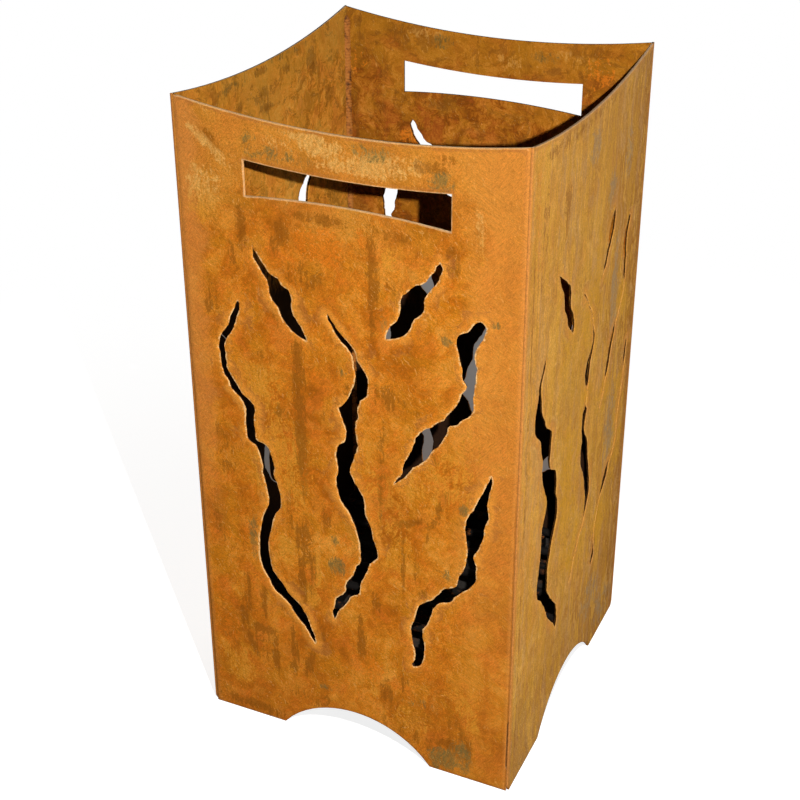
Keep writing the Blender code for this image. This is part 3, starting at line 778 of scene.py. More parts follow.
# The marks on each face, seen from its own side. In thousandths of the sheet's width and height:
# centre from the left, centre from the ground, reach across and reach upwards. Then lean in degrees
# and strength.
FRONT_MARKS = {
    "brown": (
        (735, 955, 50, 12, 0, 0.6), (120, 945, 12, 22, 45, 0.8), (230, 945, 30, 12, 0, 0.3),
        (780, 968, 30, 6, 0, 0.6), (190, 832, 16, 34, 0, 0.85), (155, 790, 20, 20, 0, 0.5),
        (310, 835, 25, 20, 0, 0.8), (420, 862, 100, 10, 0, 0.85), (285, 810, 12, 20, 0, 0.6),
        (370, 775, 70, 22, 0, 0.55), (620, 855, 80, 10, 0, 0.6), (575, 790, 18, 80, 0, 0.85),
        (630, 785, 20, 15, 0, 0.5), (800, 835, 20, 25, 0, 0.7), (347, 580, 22, 140, 1, 0.95),
        (350, 605, 45, 6, 0, 0.6), (290, 562, 30, 12, 0, 0.6), (400, 565, 25, 22, 0, 0.6),
        (355, 700, 20, 50, 0, 0.5), (420, 400, 20, 25, 0, 0.7), (345, 355, 30, 40, 0, 0.75),
        (335, 280, 14, 60, 0, 0.95), (365, 310, 12, 50, 0, 0.8), (85, 710, 25, 50, 0, 0.4),
        (100, 480, 45, 50, 0, 0.45), (70, 360, 30, 80, 0, 0.35), (610, 620, 60, 20, -10, 0.6),
        (700, 600, 20, 20, 0, 0.4), (600, 560, 15, 40, 0, 0.4), (595, 500, 14, 90, 0, 0.6),
        (680, 430, 50, 8, 25, 0.7), (735, 545, 40, 12, -30, 0.4), (145, 235, 13, 45, 0, 0.8),
        (200, 225, 13, 40, 0, 0.8), (125, 185, 16, 20, 0, 0.75), (200, 170, 55, 10, 0, 0.95),
        (150, 135, 12, 25, 20, 0.9), (195, 140, 50, 35, 0, 0.45), (235, 130, 13, 45, 0, 0.85),
        (293, 140, 14, 55, 0, 0.85), (345, 125, 14, 35, -15, 0.85), (400, 175, 30, 30, 0, 0.4),
        (265, 225, 20, 12, -40, 0.8), (315, 205, 16, 12, -50, 0.7), (605, 115, 25, 30, 0, 0.6),
        (525, 200, 15, 35, 0, 0.75), (525, 235, 6, 20, 0, 0.5), (660, 150, 14, 30, 0, 0.6),
        (830, 90, 30, 30, 0, 0.6), (730, 310, 30, 9, -35, 1), (350, 65, 100, 20, 0, 0.3),
        (120, 15, 120, 10, 0, 0.7), (220, 12, 40, 12, 0, 0.6), (800, 55, 50, 10, 0, 0.8),
        (868, 55, 12, 30, 0, 0.9), (600, 66, 12, 10, 0, 0.5), (655, 58, 10, 16, 0, 0.6),
        (700, 48, 10, 18, 0, 0.6), (745, 45, 10, 20, 0, 0.6), (400, 68, 10, 16, 0, 0.6),
        (460, 75, 10, 10, 0, 0.5), (500, 600, 30, 30, 0, 0.5), (290, 720, 20, 30, 0, 0.55),
        (240, 640, 30, 12, 0, 0.5), (760, 450, 12, 50, -20, 0.6), (660, 370, 8, 70, 0, 0.6),
        (700, 360, 8, 50, 0, 0.5), (570, 270, 20, 30, 0, 0.45), (300, 400, 12, 40, 0, 0.5),
    ),
    "grey": (
        (310, 937, 100, 12, -2, 0.62), (570, 960, 65, 12, 3, 0.62), (765, 937, 35, 14, 0, 0.8),
        (230, 955, 30, 12, 0, 0.3), (472.5, 644, 16, 8, 0, 1), (915, 760, 13, 6, 0, 0.9),
        (785, 722.5, 13, 7, 0, 0.9), (605, 730, 12, 12, 0, 0.5), (448, 322, 26, 17, -30, 1),
        (445, 368, 10, 10, 0, 0.8), (840, 473, 18, 8, -30, 1), (795, 358, 18, 8, 20, 0.9),
        (178, 345, 19, 42, 0, 1), (400, 92, 30, 5, 0, 0.7), (600, 432, 10, 8, 0, 0.5),
        (795, 22, 55, 22, 0, 1), (845, 35, 35, 30, 0, 1), (700, 115, 60, 10, 5, 0.45),
    ),
    "gold": (
        (440, 958, 70, 14, -2, 1), (385, 968, 80, 7, -2, 1), (520, 937, 100, 9, 2, 1),
        (580, 945, 90, 20, 2, 1), (320, 955, 50, 12, -3, 0.6), (700, 955, 40, 15, 3, 0.5),
        (105, 938, 18, 40, 50, 0.9), (140, 930, 10, 20, 40, 0.7), (80, 870, 50, 45, 0, 0.7),
        (120, 895, 30, 12, -20, 0.6), (870, 875, 16, 50, 0, 0.6), (620, 825, 35, 20, 0, 0.6),
        (220, 590, 70, 45, 20, 0.75), (310, 477, 40, 20, 0, 0.6), (285, 330, 30, 30, 0, 0.8),
        (360, 255, 30, 30, 0, 0.9), (380, 300, 20, 50, 0, 0.5), (110, 240, 30, 30, 0, 0.45),
        (560, 490, 30, 40, 0, 0.5), (680, 490, 50, 30, 0, 0.5), (630, 390, 30, 40, 20, 0.5),
        (850, 560, 40, 60, 0, 0.35), (830, 140, 50, 30, 0, 0.5), (680, 80, 90, 30, 0, 0.35),
        (565, 115, 12, 12, 0, 0.6), (280, 490, 110, 100, 0, 0.62), (630, 420, 70, 90, 0, 0.5),
        (800, 510, 80, 50, 0, 0.5), (100, 90, 80, 40, 0, 0.5), (870, 120, 40, 50, 0, 0.5),
    ),
    "fresh": (
        (420, 825, 75, 25, 0, 0.85), (450, 805, 45, 10, 0, 0.7), (548, 845, 20, 16, 0, 0.75),
        (230, 740, 50, 40, -30, 0.55), (480, 372, 18, 14, 0, 0.75), (470, 310, 30, 30, 0, 0.55),
        (550, 375, 30, 30, 0, 0.5), (620, 760, 20, 40, 0, 0.5), (510, 690, 20, 30, 0, 0.55),
        (400, 620, 20, 30, 0, 0.5), (80, 160, 30, 50, 0, 0.5), (560, 160, 40, 30, 0, 0.5),
        (240, 260, 30, 30, 0, 0.5), (350, 220, 50, 20, 0, 0.5),
    ),
}
LEFT_INNER = {
    "brown": (
        (450, 968, 45, 5, 0, 0.8), (330, 934, 22, 8, 30, 0.95), (400, 953, 20, 6, 0, 0.6),
        (460, 932, 45, 13, 0, 0.8), (470, 912, 35, 10, 0, 0.85), (530, 908, 30, 4, 0, 0.7),
        (600, 953, 25, 8, 0, 0.9), (680, 970, 30, 6, 0, 0.6), (755, 945, 35, 22, 0, 0.7),
        (800, 915, 8, 30, 0, 0.6), (885, 945, 20, 3, 0, 0.9), (990, 955, 12, 30, 0, 0.7),
        (800, 860, 10, 40, 0, 0.4),
    ),
    "grey": (
        (300, 965, 100, 8, 0, 0.4), (620, 975, 140, 6, 0, 0.4),
    ),
    "gold": (
        (620, 905, 70, 25, 0, 0.35), (880, 965, 50, 16, 0, 0.5), (520, 950, 30, 6, 0, 0.4),
        (985, 860, 12, 100, 0, 0.4),
    ),
    "fresh": (
        (300, 900, 40, 20, 0, 0.4), (700, 885, 50, 20, 0, 0.45),
    ),
}
BACK_INNER = {
    "brown": (
        (48, 978, 16, 12, 0, 0.95), (55, 955, 14, 10, 0, 0.9), (115, 948, 8, 6, 0, 1),
        (72, 935, 10, 6, 0, 0.8), (105, 926, 14, 6, 20, 0.7), (12, 893, 10, 12, 0, 1),
        (100, 985, 20, 6, 0, 0.6), (700, 938, 30, 7, 0, 0.9), (620, 942, 20, 5, 0, 0.6),
        (330, 862, 60, 8, 0, 0.6), (200, 955, 30, 20, 0, 0.4), (120, 860, 30, 20, 0, 0.4),
        (40, 800, 20, 50, 0, 0.5),
    ),
    "grey": (
        (340, 962, 50, 12, 0, 0.45), (680, 958, 60, 10, 0, 0.4),
    ),
    "gold": (
        (105, 912, 12, 6, 0, 0.6), (280, 972, 60, 8, 0, 0.5), (560, 945, 50, 12, 0, 0.45),
        (750, 962, 60, 10, 0, 0.45),
    ),
    "fresh": (
        (50, 915, 40, 20, 0, 0.5), (840, 945, 50, 30, 0, 0.5), (240, 800, 50, 20, 0, 0.5),
    ),
}
# Stretches of the fine cuts of the side sheets that dross has closed up again.
CLOSED = (
    (540, 665, 80, 65, 0, 1), (550, 530, 50, 20, 0, 1), (520, 275, 100, 50, 0, 1), (655, 700, 30, 12, 0, 1),
    (840, 620, 70, 35, 0, 1), (720, 490, 60, 30, 0, 1), (900, 400, 80, 100, 0, 1), (760, 250, 70, 50, 0, 1),
)
RIGHT_MARKS = {
    "brown": (
        (535, 265, 20, 20, -30, 0.6), (715, 215, 20, 25, 0, 0.8), (930, 450, 12, 50, 0, 0.5),
        (285, 872, 30, 35, 0, 0.9), (120, 860, 30, 100, 0, 0.4), (980, 500, 30, 600, 0, 0.7),
        (45, 450, 8, 500, 0, 0.6), (400, 970, 400, 12, 0, 0.45),
    ),
    "grey": (
        (500, 925, 50, 30, 0, 0.8), (685, 830, 40, 30, 0, 0.7), (820, 860, 40, 50, 0, 0.55),
        (766, 655, 35, 90, 3, 0.85), (810, 410, 60, 80, 0, 0.7), (720, 110, 100, 40, 0, 0.6),
        (880, 50, 100, 40, 0, 0.6),
    ),
    "gold": (
        *CLOSED,
        (420, 400, 100, 160, 0, 0.6), (350, 660, 80, 80, 0, 0.5), (600, 700, 50, 100, 0, 0.5),
    ),
    "fresh": (
        (60, 900, 30, 100, 0, 0.4),
    ),
}
BACK_MARKS = {
    "brown": (
        (620, 660, 16, 100, 0, 0.8), (280, 820, 50, 30, 0, 0.7), (100, 300, 30, 100, 0, 0.6),
        (800, 130, 60, 50, 0, 0.8), (450, 100, 140, 30, 0, 0.5),
    ),
    "grey": (
        (350, 360, 24, 16, 20, 0.9), (700, 520, 16, 12, 0, 0.9), (240, 50, 80, 30, 0, 0.8),
    ),
    "gold": (
        (500, 955, 220, 18, 0, 0.8), (550, 300, 60, 70, 0, 0.6), (180, 700, 50, 60, 0, 0.5),
    ),
    "fresh": (
        (400, 820, 80, 30, 0, 0.8), (860, 840, 50, 50, 0, 0.6), (300, 560, 40, 50, 0, 0.5),
    ),
}
LEFT_MARKS = {
    "brown": (
        (600, 880, 50, 30, 0, 0.7), (120, 600, 30, 140, 0, 0.6), (940, 600, 30, 300, 0, 0.5),
    ),
    "grey": (
        (360, 900, 60, 30, 0, 0.7), (640, 600, 40, 80, 0, 0.7), (220, 100, 100, 50, 0, 0.7),
        (850, 300, 50, 80, 0, 0.6),
    ),
    "gold": (
        (500, 440, 100, 120, 0, 0.6), (300, 740, 60, 80, 0, 0.5),
    ),
    "fresh": (
        (760, 160, 50, 50, 0, 0.5),
    ),
}

_made = {}


def rust_ramp(darkest, dark, main, pale, palest):
    """The stops of a rust's ramp. All but the main colour are as read on a screen."""
    shades = (tint(*darkest), tint(*dark), tuple(main), tint(*pale), tint(*palest))
    return tuple(zip((0.2, 0.4, 0.5, 0.62, 0.82), shades))


def tints(**shades):
    return {name: tint(*shade) for name, shade in shades.items()}


def sheet_tones(settings):
    """The colours of the front, back and side sheets, and how strong some of their layers are."""
    # The last of these is the near-black painted shade on the walls inside the torn cuts.
    shared = tints(inner_grey=(108, 86, 40), vein=(206, 140, 48), scorched=(18, 11, 7))
    brown = rust_ramp((128, 68, 16), (150, 82, 19), tint(162, 92, 22), (176, 102, 27), (194, 120, 42))
    golden = rust_ramp((188, 112, 31), (221, 138, 42), settings.inside, (238, 154, 54), (242, 168, 68))
    front = dict(
        ramp=rust_ramp((182, 99, 20), (206, 114, 23), settings.front, (222, 133, 33), (232, 151, 54)),
        inner_ramp=brown,
        dark=tuple(settings.front_dark),
        gold=tuple(settings.front_gold),
        # low and foot give the strength and colour of the painted shade at the feet.
        low=0.26,
        heat=0.8,
        bare=0.9,
        **shared,
        **tints(
            inner_red=(170, 84, 30),
            inner_olive=(172, 112, 26),
            olive=(206, 131, 26),
            red=(224, 119, 38),
            top=(208, 141, 57),
            foot=(180, 106, 34),
            pale=(236, 160, 64),
            fresh=(222, 120, 28),
            grey=(130, 108, 56),
            mustard=(222, 148, 46),
            band=(180, 108, 54),
            seam=(216, 138, 62),
            scratch=(246, 190, 104),
            mended=(236, 160, 60),
            wall=(226, 158, 96),
            wall_dark=(176, 108, 54),
            # The front's rim and ends are pale as a painted highlight.
            rim=(255, 214, 158),
            end=(228, 168, 106),
            margin=(224, 144, 60),
            margin_left=(218, 137, 64),
        ),
    )
    # The back sheet, turned away from the lamp: a darker foot as painted shade, and its rim and ends
    # painted dark as shade.
    back = {**front, **tints(foot=(152, 88, 30), rim=(84, 66, 38), end=(92, 62, 34))}
    side = dict(
        ramp=rust_ramp((180, 122, 48), (196, 137, 56), settings.side, (210, 154, 68), (220, 166, 84)),
        inner_ramp=golden,
        dark=tuple(settings.side_dark),
        grey=tuple(settings.side_grey),
        # low and foot give the strength and colour of the painted shade at the feet.
        low=0.85,
        heat=0.2,
        bare=0.25,
        **shared,
        **tints(
            inner_red=(220, 128, 46),
            inner_olive=(194, 134, 44),
            olive=(192, 144, 56),
            red=(210, 142, 68),
            top=(200, 144, 60),
            foot=(146, 104, 60),
            pale=(226, 176, 100),
            gold=(216, 160, 68),
            fresh=(208, 126, 48),
            band=(184, 124, 66),
            seam=(204, 130, 56),
            scratch=(228, 182, 110),
            mended=(232, 160, 60),
            wall=(202, 140, 62),
            wall_dark=(150, 94, 40),
            # The right sheet's rim and ends are pale as a painted highlight; the left sheet's take the
            # painted shade colours that follow.
            rim=(232, 190, 146),
            far_rim=(48, 44, 42),
            end=(214, 138, 68),
            far_end=(188, 118, 54),
            # The colours of the painted shade away from the front and of the painted light near it.
            shade=(138, 86, 24),
            near=(226, 152, 70),
            run=(178, 124, 54),
            lavender=(184, 138, 84),
            mustard=(198, 142, 40),
        ),
    )
    return front, back, side


def sheet_materials(settings):
    """The rust of each sheet, made once."""
    if "sheets" not in _made:
        front, back, side = sheet_tones(settings)
        slanted = ((0.0, radians(62), 0.0), (0.0, radians(-40), 0.0))
        upright = ((radians(7), 0.0, 0.0), (radians(-14), 0.0, 0.0))
        front_rust = sheet_finish("front_rust", settings, front, slanted, 0.5)
        back_rust = sheet_finish("back_rust", settings, back, slanted, 0.5)
        side_rust = sheet_finish("side_rust", settings, side, upright, 1.1)
        rusts = (front_rust, back_rust, side_rust, side_rust)
        _made["sheets"] = dict(zip(SHEET_SLOTS, rusts))
    return _made["sheets"]


class BARREL_OT_side_sheets(bpy.types.Operator):
    """Cut, warp and rust the four sheets of the barrel"""

    bl_idname = "barrel.side_sheets"
    bl_label = "Side Sheets"

    def execute(self, context):
        settings = context.scene.barrel_sheets
        half_turn = Matrix.Rotation(pi, 4, "Z")
        ahead, rightward = Vector((0.0, -1.0, 0.0)), Vector((1.0, 0.0, 0.0))
        for near, far, outward, near_marks, far_marks in (
            ("front", "back", ahead, (FRONT_MARKS, LEFT_INNER), (BACK_MARKS, BACK_INNER)),
            ("right", "left", rightward, (RIGHT_MARKS, BACK_INNER), (LEFT_MARKS, LEFT_INNER)),
        ):
            shape, lines = cut_sheet(near + "_panel", settings)
            if near == "front":
                self.close_seams(shape, settings)
            twin = shape.copy()
            bmesh.ops.transform(twin, matrix=half_turn, verts=twin.verts)
            twin_lines = [[(half_turn @ start, half_turn @ end) for start, end in group] for group in lines]
            dress_sheet(near + "_sheet", near + "_panel", shape, lines, outward, near_marks, settings)
            dress_sheet(far + "_sheet", far + "_panel", twin, twin_lines, -outward, far_marks, settings)
        return {"FINISHED"}

    @staticmethod
    def close_seams(shape, settings):
        """The front sheet meets the side sheets, save for a stretch left open at the right foot."""
        reach = max(vert.co.x for vert in shape.verts)
        rounding, overlap = 0.0004, 0.0003
        open_from, open_to = 0.031, 0.088
        for vert in shape.verts:
            if abs(vert.co.x) > reach - rounding:
                out = 1.0 if vert.co.x > 0 else -1.0
                left_open = vert.co.x > 0 and open_from < vert.co.z < open_to
                vert.co.x -= out * (settings.seam if left_open else -overlap)


def ripple_bead(name, node, corner, into_x, into_y, low, high, radius, settings):
    """A fillet bead that swells and sinks along its length, in the corner between two sheets."""
    length_of = high - low
    rows = round(length_of / settings.ripple) * 5
    bow, faded_end = 0.0011, 0.006
    shape = bmesh.new()
    bmesh.ops.create_cone(
        shape, cap_ends=True, segments=16, radius1=radius, radius2=radius, depth=length_of, calc_uvs=False
    )
    long_edges = [e for e in shape.edges if abs(e.verts[0].co.z - e.verts[1].co.z) > length_of / 2]
    bmesh.ops.subdivide_edges(shape, edges=long_edges, cuts=rows)
    middle = Vector((into_x, into_y, 0.0)).normalized()
    for vert in shape.verts:
        flat = Vector((vert.co.x, vert.co.y, 0.0))
        if flat.length < TINY:
            continue
        lean = flat.normalized().dot(middle)
        z = vert.co.z + length_of / 2
        bowed = z + bow * max(0.0, lean)
        wave = cos(2 * pi * bowed / settings.ripple)
        patch = noise.noise(Vector((corner.x * 40, corner.y * 40, z * 55)))
        size = 1 - settings.swell * (0.5 - 0.5 * wave) - 0.16 * (0.5 - patch)
        taper = min(1.0, 0.35 + min(z, length_of - z) / faded_end)
        spot = flat.normalized() * radius * size * taper
        x = max(0.0, spot.x * into_x)
        y = max(0.0, spot.y * into_y)
        vert.co = Vector((corner.x + into_x * x, corner.y + into_y * y, low + z))
    bmesh.ops.remove_doubles(shape, verts=shape.verts, dist=TINY)
    bmesh.ops.dissolve_degenerate(shape, edges=shape.edges, dist=1e-7)
    bmesh.ops.recalc_face_normals(shape, faces=shape.faces)
    return finished(name, shape, weld_material(settings), "barrel", (node,), crease=60)


def weld_material(settings):
    if "weld" not in _made:
        _made["weld"] = weld_finish(settings)
    return _made["weld"]


class BARREL_OT_corner_welds(bpy.types.Operator):
    """Run a rippled bead up each inside corner"""

    bl_idname = "barrel.corner_welds"
    bl_label = "Corner Welds"

    def execute(self, context):
        settings = context.scene.barrel_welds
        for front in ("front", "back"):
            for side in ("left", "right"):
                node = f"corner_weld_{front}_{side}"
                low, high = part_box(node)
                into_x = 1.0 if side == "left" else -1.0
                into_y = 1.0 if front == "front" else -1.0
                corner = Vector((low.x if into_x > 0 else high.x, low.y if into_y > 0 else high.y, 0.0))
                radius = min(high.x - low.x, high.y - low.y)
                name = f"weld_bead_{front}_{side}"
                ripple_bead(name, node, corner, into_x, into_y, low.z, high.z, radius, settings)
        return {"FINISHED"}


class BARREL_OT_ash_pan(bpy.types.Operator):
    """Finish the ash pan and the lugs that carry it, and weld the lugs to the sheets"""

    bl_idname = "barrel.ash_pan"
    bl_label = "Ash Pan and Lugs"

    def execute(self, context):
        settings = context.scene.barrel_fire_bed
        dress(NODES["ash_pan"], fire_finish("pan_steel", settings, settings.pan, 0.5, 0.8))
        lug = fire_finish("lug_steel", settings, settings.pan, 0.9)
        beads = bmesh.new()
        for front in ("front", "back"):
            for side in ("left", "right"):
                node = f"pan_lug_{front}_{side}"
                dress(NODES[node], lug)
                self.weld_lug(beads, *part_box(node), side == "left", front == "front")
        bmesh.ops.recalc_face_normals(beads, faces=beads.faces)
        weld = weld_material(context.scene.barrel_welds)
        finished("lug_beads", beads, weld, "barrel", crease=60)
        return {"FINISHED"}

    @staticmethod
    def weld_lug(beads, low, high, at_left, at_front):
        """Two short beads under a lug, one along each sheet."""
        x = low.x if at_left else high.x
        y = low.y if at_front else high.y
        into_x, into_y = (1 if at_left else -1), (1 if at_front else -1)
        first, pitch, radius, above = 0.009, 0.0032, 0.0026, 0.0006
        for lengthways, size in ((Vector((1, 0, 0)), high.x - low.x), (Vector((0, 1, 0)), high.y - low.y)):
            into = Vector((into_x * lengthways.x, into_y * lengthways.y, 0.0))
            count = int((size - 0.016) / pitch)
            for step in range(count):
                at = Vector((x, y, low.z)) + into * (first + step * pitch)
                made = bmesh.ops.create_icosphere(beads, subdivisions=2, radius=radius)
                jitter = 1 + 0.25 * noise.noise(at * 300)
                for vert in made["verts"]:
                    vert.co = at + Vector((vert.co.x, vert.co.y, min(vert.co.z, above))) * jitter
                    vert.co.x = max(vert.co.x, x) if at_left else min(vert.co.x, x)
                    vert.co.y = max(vert.co.y, y) if at_front else min(vert.co.y, y)


def dress(node, material):
    """Gives a CAD node its finish."""
    node.data.materials.clear()
    node.data.materials.append(material)


class BARREL_OT_grate(bpy.types.Operator):
    """Build the grate's scaled bars, tack them to the rails and finish the rails"""

    bl_idname = "barrel.grate"
    bl_label = "Grate"

    def execute(self, context):
        settings = context.scene.barrel_fire_bed
        scale = fire_finish("grate_steel", settings, settings.iron, 0.35)
        rails = [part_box("grate_rail_left"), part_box("grate_rail_right")]
        for side in ("left", "right"):
            dress(NODES["grate_rail_" + side], scale)
        tacks = bmesh.new()
        from_middle, above_rail = 0.0042, 0.0008
        names = sorted(name for name in NODES if name.startswith("grate_bar_"))
        for name in names:
            low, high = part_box(name)
            self.bar(name.replace("bar", "rod"), name, low, high, scale, settings)
            for rail_low, rail_high in rails:
                middle = (rail_low.x + rail_high.x) / 2
                for side in (-1, 1):
                    y = (low.y + high.y) / 2 + side * from_middle
                    at = Vector((middle, y, rail_high.z + above_rail))
                    made = bmesh.ops.create_icosphere(tacks, subdivisions=3, radius=settings.tack)
                    for vert in made["verts"]:
                        lump = 1 + 0.22 * noise.noise((at + vert.co) * 420)
                        vert.co = at + Vector((vert.co.x * 1.1, vert.co.y * 0.9, vert.co.z * 0.62)) * lump
        bmesh.ops.recalc_face_normals(tacks, faces=tacks.faces)
        finished("grate_tacks", tacks, scale, "grate", crease=70)
        return {"FINISHED"}

    @staticmethod
    def bar(name, node, low, high, material, settings):
        """A round bar, its ends rounded and its skin roughened by scale."""
        length_of, radius = high.x - low.x, (high.z - low.z) / 2 - settings.scale_depth
        shape = bmesh.new()
        bmesh.ops.create_cone(
            shape, cap_ends=True, segments=24, radius1=radius, radius2=radius, depth=length_of
        )
        ends = [e for e in shape.edges if abs(e.verts[0].co.z - e.verts[1].co.z) < TINY]
        bmesh.ops.bevel(
            shape,
            geom=ends,
            offset=settings.bar_round,
            segments=3,
            profile=0.5,
            affect="EDGES",
            material=-1,
        )
        long_edges = [e for e in shape.edges if abs(e.verts[0].co.z - e.verts[1].co.z) > length_of / 2]
        bmesh.ops.subdivide_edges(shape, edges=long_edges, cuts=90)
        middle = (low + high) / 2
        bmesh.ops.rotate(shape, verts=shape.verts, matrix=Euler((0.0, pi / 2, 0.0)).to_matrix())
        bmesh.ops.translate(shape, verts=shape.verts, vec=middle)
        for vert in shape.verts:
            out = Vector((0.0, vert.co.y - middle.y, vert.co.z - middle.z))
            vert.co += out.normalized() * settings.scale_depth * noise.noise(vert.co * 330)
        return finished(name, shape, material, "grate", (node,))


class BARREL_OT_stage(bpy.types.Operator):
    """Set up the camera, the lamps, the pale floor and the white background"""

    bl_idname = "barrel.stage"
    bl_label = "Stage"

    def execute(self, context):
        settings = context.scene.barrel_stage
        scene = context.scene
        scene.view_settings.view_transform = "Standard"
        self.camera(scene)
        self.lamps(scene, settings)
        self.floor(scene, settings)
        self.sky(scene, settings)
        return {"FINISHED"}

    @staticmethod
    def camera(scene):
        """The photo's view: 24 degrees to the right of the front and 27 degrees down."""
        turn, rise, roll = radians(23.888), radians(27.399), radians(0.328)
        back = Vector((sin(turn) * cos(rise), -cos(turn) * cos(rise), sin(rise)))
        right = Vector((cos(turn), sin(turn), 0.0))
        up = back.cross(right)
        level = (right * cos(roll) + up * sin(roll), up * cos(roll) - right * sin(roll), back)
        camera = bpy.data.objects.new("camera", bpy.data.cameras.new("camera"))
        place = Matrix.Translation((0.5621, -1.26455, 1.1067))
        camera.matrix_world = place @ Matrix(level).transposed().to_4x4()
        camera.data.sensor_width = 36.0
        camera.data.lens = 66.639
        camera.data.shift_x = -0.03245
        camera.data.shift_y = -0.05681
        camera.data.clip_start = 0.05
        camera.data.clip_end = 60.0
        scene.collection.objects.link(camera)
        scene.camera = camera

    @staticmethod
    def lamps(scene, settings):
        """A small key lamp a metre away at the front right, and wide soft lamps all round."""
        key = bpy.data.objects.new("key_lamp", bpy.data.lights.new("key_lamp", "POINT"))
        key.data.shadow_soft_size = settings.lamp_radius
        key.data.energy = 1.0
        key.data.cycles.max_bounces = 0
        key.data.use_nodes = True
        nodes, links = key.data.node_tree.nodes, key.data.node_tree.links
        falloff = nodes.new("ShaderNodeLightFalloff")
        falloff.inputs["Strength"].default_value = 41.0 * settings.key
        links.new(falloff.outputs["Constant"], nodes["Emission"].inputs["Strength"])
        key.location = (0.4168, -0.7553, 0.9161)
        scene.collection.objects.link(key)
        span, level, aimed = 0.55, 0.4, 0.34
        for name, azimuth, away, power in (
            ("right", 72, 1.7, 13.0),
            ("left", -95, 2.4, 26.0),
            ("back", 175, 2.4, 34.0),
        ):
            lamp = bpy.data.objects.new(name + "_lamp", bpy.data.lights.new(name + "_lamp", "AREA"))
            lamp.data.shape = "SQUARE"
            lamp.data.size = span
            lamp.data.energy = power * settings.fill
            turn = radians(azimuth)
            lamp.location = (away * sin(turn), -away * cos(turn), level)
            aim = lamp.location - Vector((0.0, 0.0, aimed))
            lamp.rotation_euler = aim.to_track_quat("Z", "Y").to_euler()
            scene.collection.objects.link(lamp)

    @staticmethod
    def floor(scene, settings):
        """A pale floor that keeps the barrel's shadow, darkest in a painted shadow core straight behind the
        barrel, and fades to the background.
        """
        f = Finish("floor_paper")
        shape = bmesh.new()
        bmesh.ops.create_circle(shape, cap_ends=True, segments=96, radius=9.0)
        mesh = bpy.data.meshes.new("floor")
        shape.to_mesh(mesh)
        shape.free()
        floor = bpy.data.objects.new("floor", mesh)
        scene.collection.objects.link(floor)
        tree = f.tree
        tree.nodes.remove(f.shader)
        paper = f.node("ShaderNodeBsdfDiffuse", inputs={"Color": tuple(settings.floor)})
        seen = f.node("ShaderNodeBsdfDiffuse", inputs={"Color": (0.43, 0.415, 0.40)})
        # Painted shadow: a core behind the barrel, hidden by it from the camera, where the floor loses its
        # lift and shows dark.
        across = f.vector("DOT_PRODUCT", f.place, (0.914, 0.405, 0.0), out="Value") + 21.0
        along = f.vector("DOT_PRODUCT", f.place, (-0.405, 0.914, 0.0), out="Value") - 643.0
        painted_shadow_core = (across.bend() - along * 0.17).rise(322.0, 290.0) * along.rise(-600.0, -500.0)
        painted_shadow_core = painted_shadow_core * along.rise(560.0, 450.0)
        glow = f.mix(painted_shadow_core, (0.84, 0.84, 0.84), (0.0, 0.0, 0.0))
        lift = f.node("ShaderNodeEmission", inputs={"Color": glow, "Strength": 1.0})
        white = f.node("ShaderNodeEmission", inputs={"Color": tuple(settings.background), "Strength": 1.0})
        shadowed = f.node("ShaderNodeAddShader", inputs={0: seen, 1: lift})
        distance = f.vector("LENGTH", f.vector("MULTIPLY", f.place, (1.0, 1.0, 0.0)), out="Value")
        fading = distance.rise(420.0, 1250.0) * (1.0 - painted_shadow_core)
        near = f.node("ShaderNodeMixShader", inputs={0: fading, 1: shadowed, 2: white})
        path = f.node("ShaderNodeLightPath", out="Is Camera Ray")
        glossy = f.node("ShaderNodeLightPath", out="Is Glossy Ray")
        through = f.node("ShaderNodeLightPath", out="Is Transmission Ray")
        both = f.node("ShaderNodeMixShader", inputs={0: path.most(glossy).most(through), 1: paper, 2: near})
        tree.links.new(both.socket, tree.nodes["Material Output"].inputs["Surface"])
        mesh.materials.append(f.material)

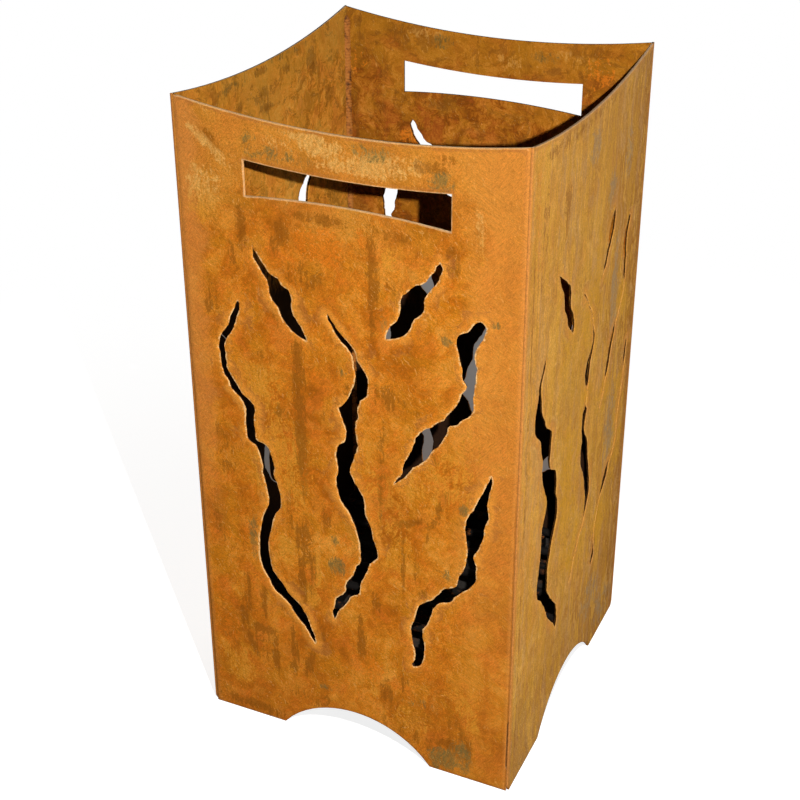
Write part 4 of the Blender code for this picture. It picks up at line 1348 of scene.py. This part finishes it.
    @staticmethod
    def sky(scene, settings):
        """White to the camera, and a weak even light for the barrel."""
        world = bpy.data.worlds.new("studio")
        world.use_nodes = True
        scene.world = world
        tree = world.node_tree
        tree.nodes.clear()
        path = tree.nodes.new("ShaderNodeLightPath")
        seen, lit = tree.nodes.new("ShaderNodeBackground"), tree.nodes.new("ShaderNodeBackground")
        seen.inputs["Color"].default_value = (*settings.background, 1.0)
        seen.inputs["Strength"].default_value = 1.0
        lit.inputs["Color"].default_value = (1.0, 0.98, 0.95, 1.0)
        lit.inputs["Strength"].default_value = settings.sky
        first, second = (tree.nodes.new("ShaderNodeMath") for _ in range(2))
        first.operation = second.operation = "MAXIMUM"
        mix, output = tree.nodes.new("ShaderNodeMixShader"), tree.nodes.new("ShaderNodeOutputWorld")
        for start, end in (
            (path.outputs["Is Camera Ray"], first.inputs[0]),
            (path.outputs["Is Glossy Ray"], first.inputs[1]),
            (first.outputs[0], second.inputs[0]),
            (path.outputs["Is Transmission Ray"], second.inputs[1]),
            (second.outputs[0], mix.inputs[0]),
            (lit.outputs[0], mix.inputs[1]),
            (seen.outputs[0], mix.inputs[2]),
            (mix.outputs[0], output.inputs["Surface"]),
        ):
            tree.links.new(start, end)


class BARREL_PT_panel(bpy.types.Panel):
    """Lists the barrel's pieces and their sizes and colours"""

    bl_idname = "BARREL_PT_panel"
    bl_label = "Fire Barrel"
    bl_space_type = "VIEW_3D"
    bl_region_type = "UI"
    bl_category = "Fire Barrel"

    def draw(self, context):
        for operator, settings in (
            (BARREL_OT_side_sheets, "barrel_sheets"),
            (BARREL_OT_corner_welds, "barrel_welds"),
            (BARREL_OT_ash_pan, "barrel_fire_bed"),
            (BARREL_OT_grate, None),
            (BARREL_OT_stage, "barrel_stage"),
        ):
            box = self.layout.box()
            box.operator(operator.bl_idname)
            if settings:
                group = getattr(context.scene, settings)
                for key in group.bl_rna.properties.keys():
                    if key not in ("rna_type", "name"):
                        box.prop(group, key)


GROUPS = {
    "barrel_sheets": BarrelSheetSettings,
    "barrel_welds": BarrelWeldSettings,
    "barrel_fire_bed": BarrelFireBedSettings,
    "barrel_stage": BarrelStageSettings,
}
OPERATORS = (
    BARREL_OT_side_sheets,
    BARREL_OT_corner_welds,
    BARREL_OT_ash_pan,
    BARREL_OT_grate,
    BARREL_OT_stage,
)


def register():
    for each in (*GROUPS.values(), *OPERATORS, BARREL_PT_panel):
        bpy.utils.register_class(each)
    for name, group in GROUPS.items():
        setattr(bpy.types.Scene, name, bpy.props.PointerProperty(type=group))


def unregister():
    for name in GROUPS:
        delattr(bpy.types.Scene, name)
    for each in (BARREL_PT_panel, *reversed(OPERATORS), *reversed(GROUPS.values())):
        bpy.utils.unregister_class(each)


def main():
    register()
    for name in ("Cube", "Light", "Camera"):
        if name in bpy.data.objects:
            bpy.data.objects.remove(bpy.data.objects[name])
    bpy.ops.barrel.side_sheets()
    bpy.ops.barrel.corner_welds()
    bpy.ops.barrel.ash_pan()
    bpy.ops.barrel.grate()
    bpy.ops.barrel.stage()
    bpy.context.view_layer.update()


if __name__ == "__main__":
    main()
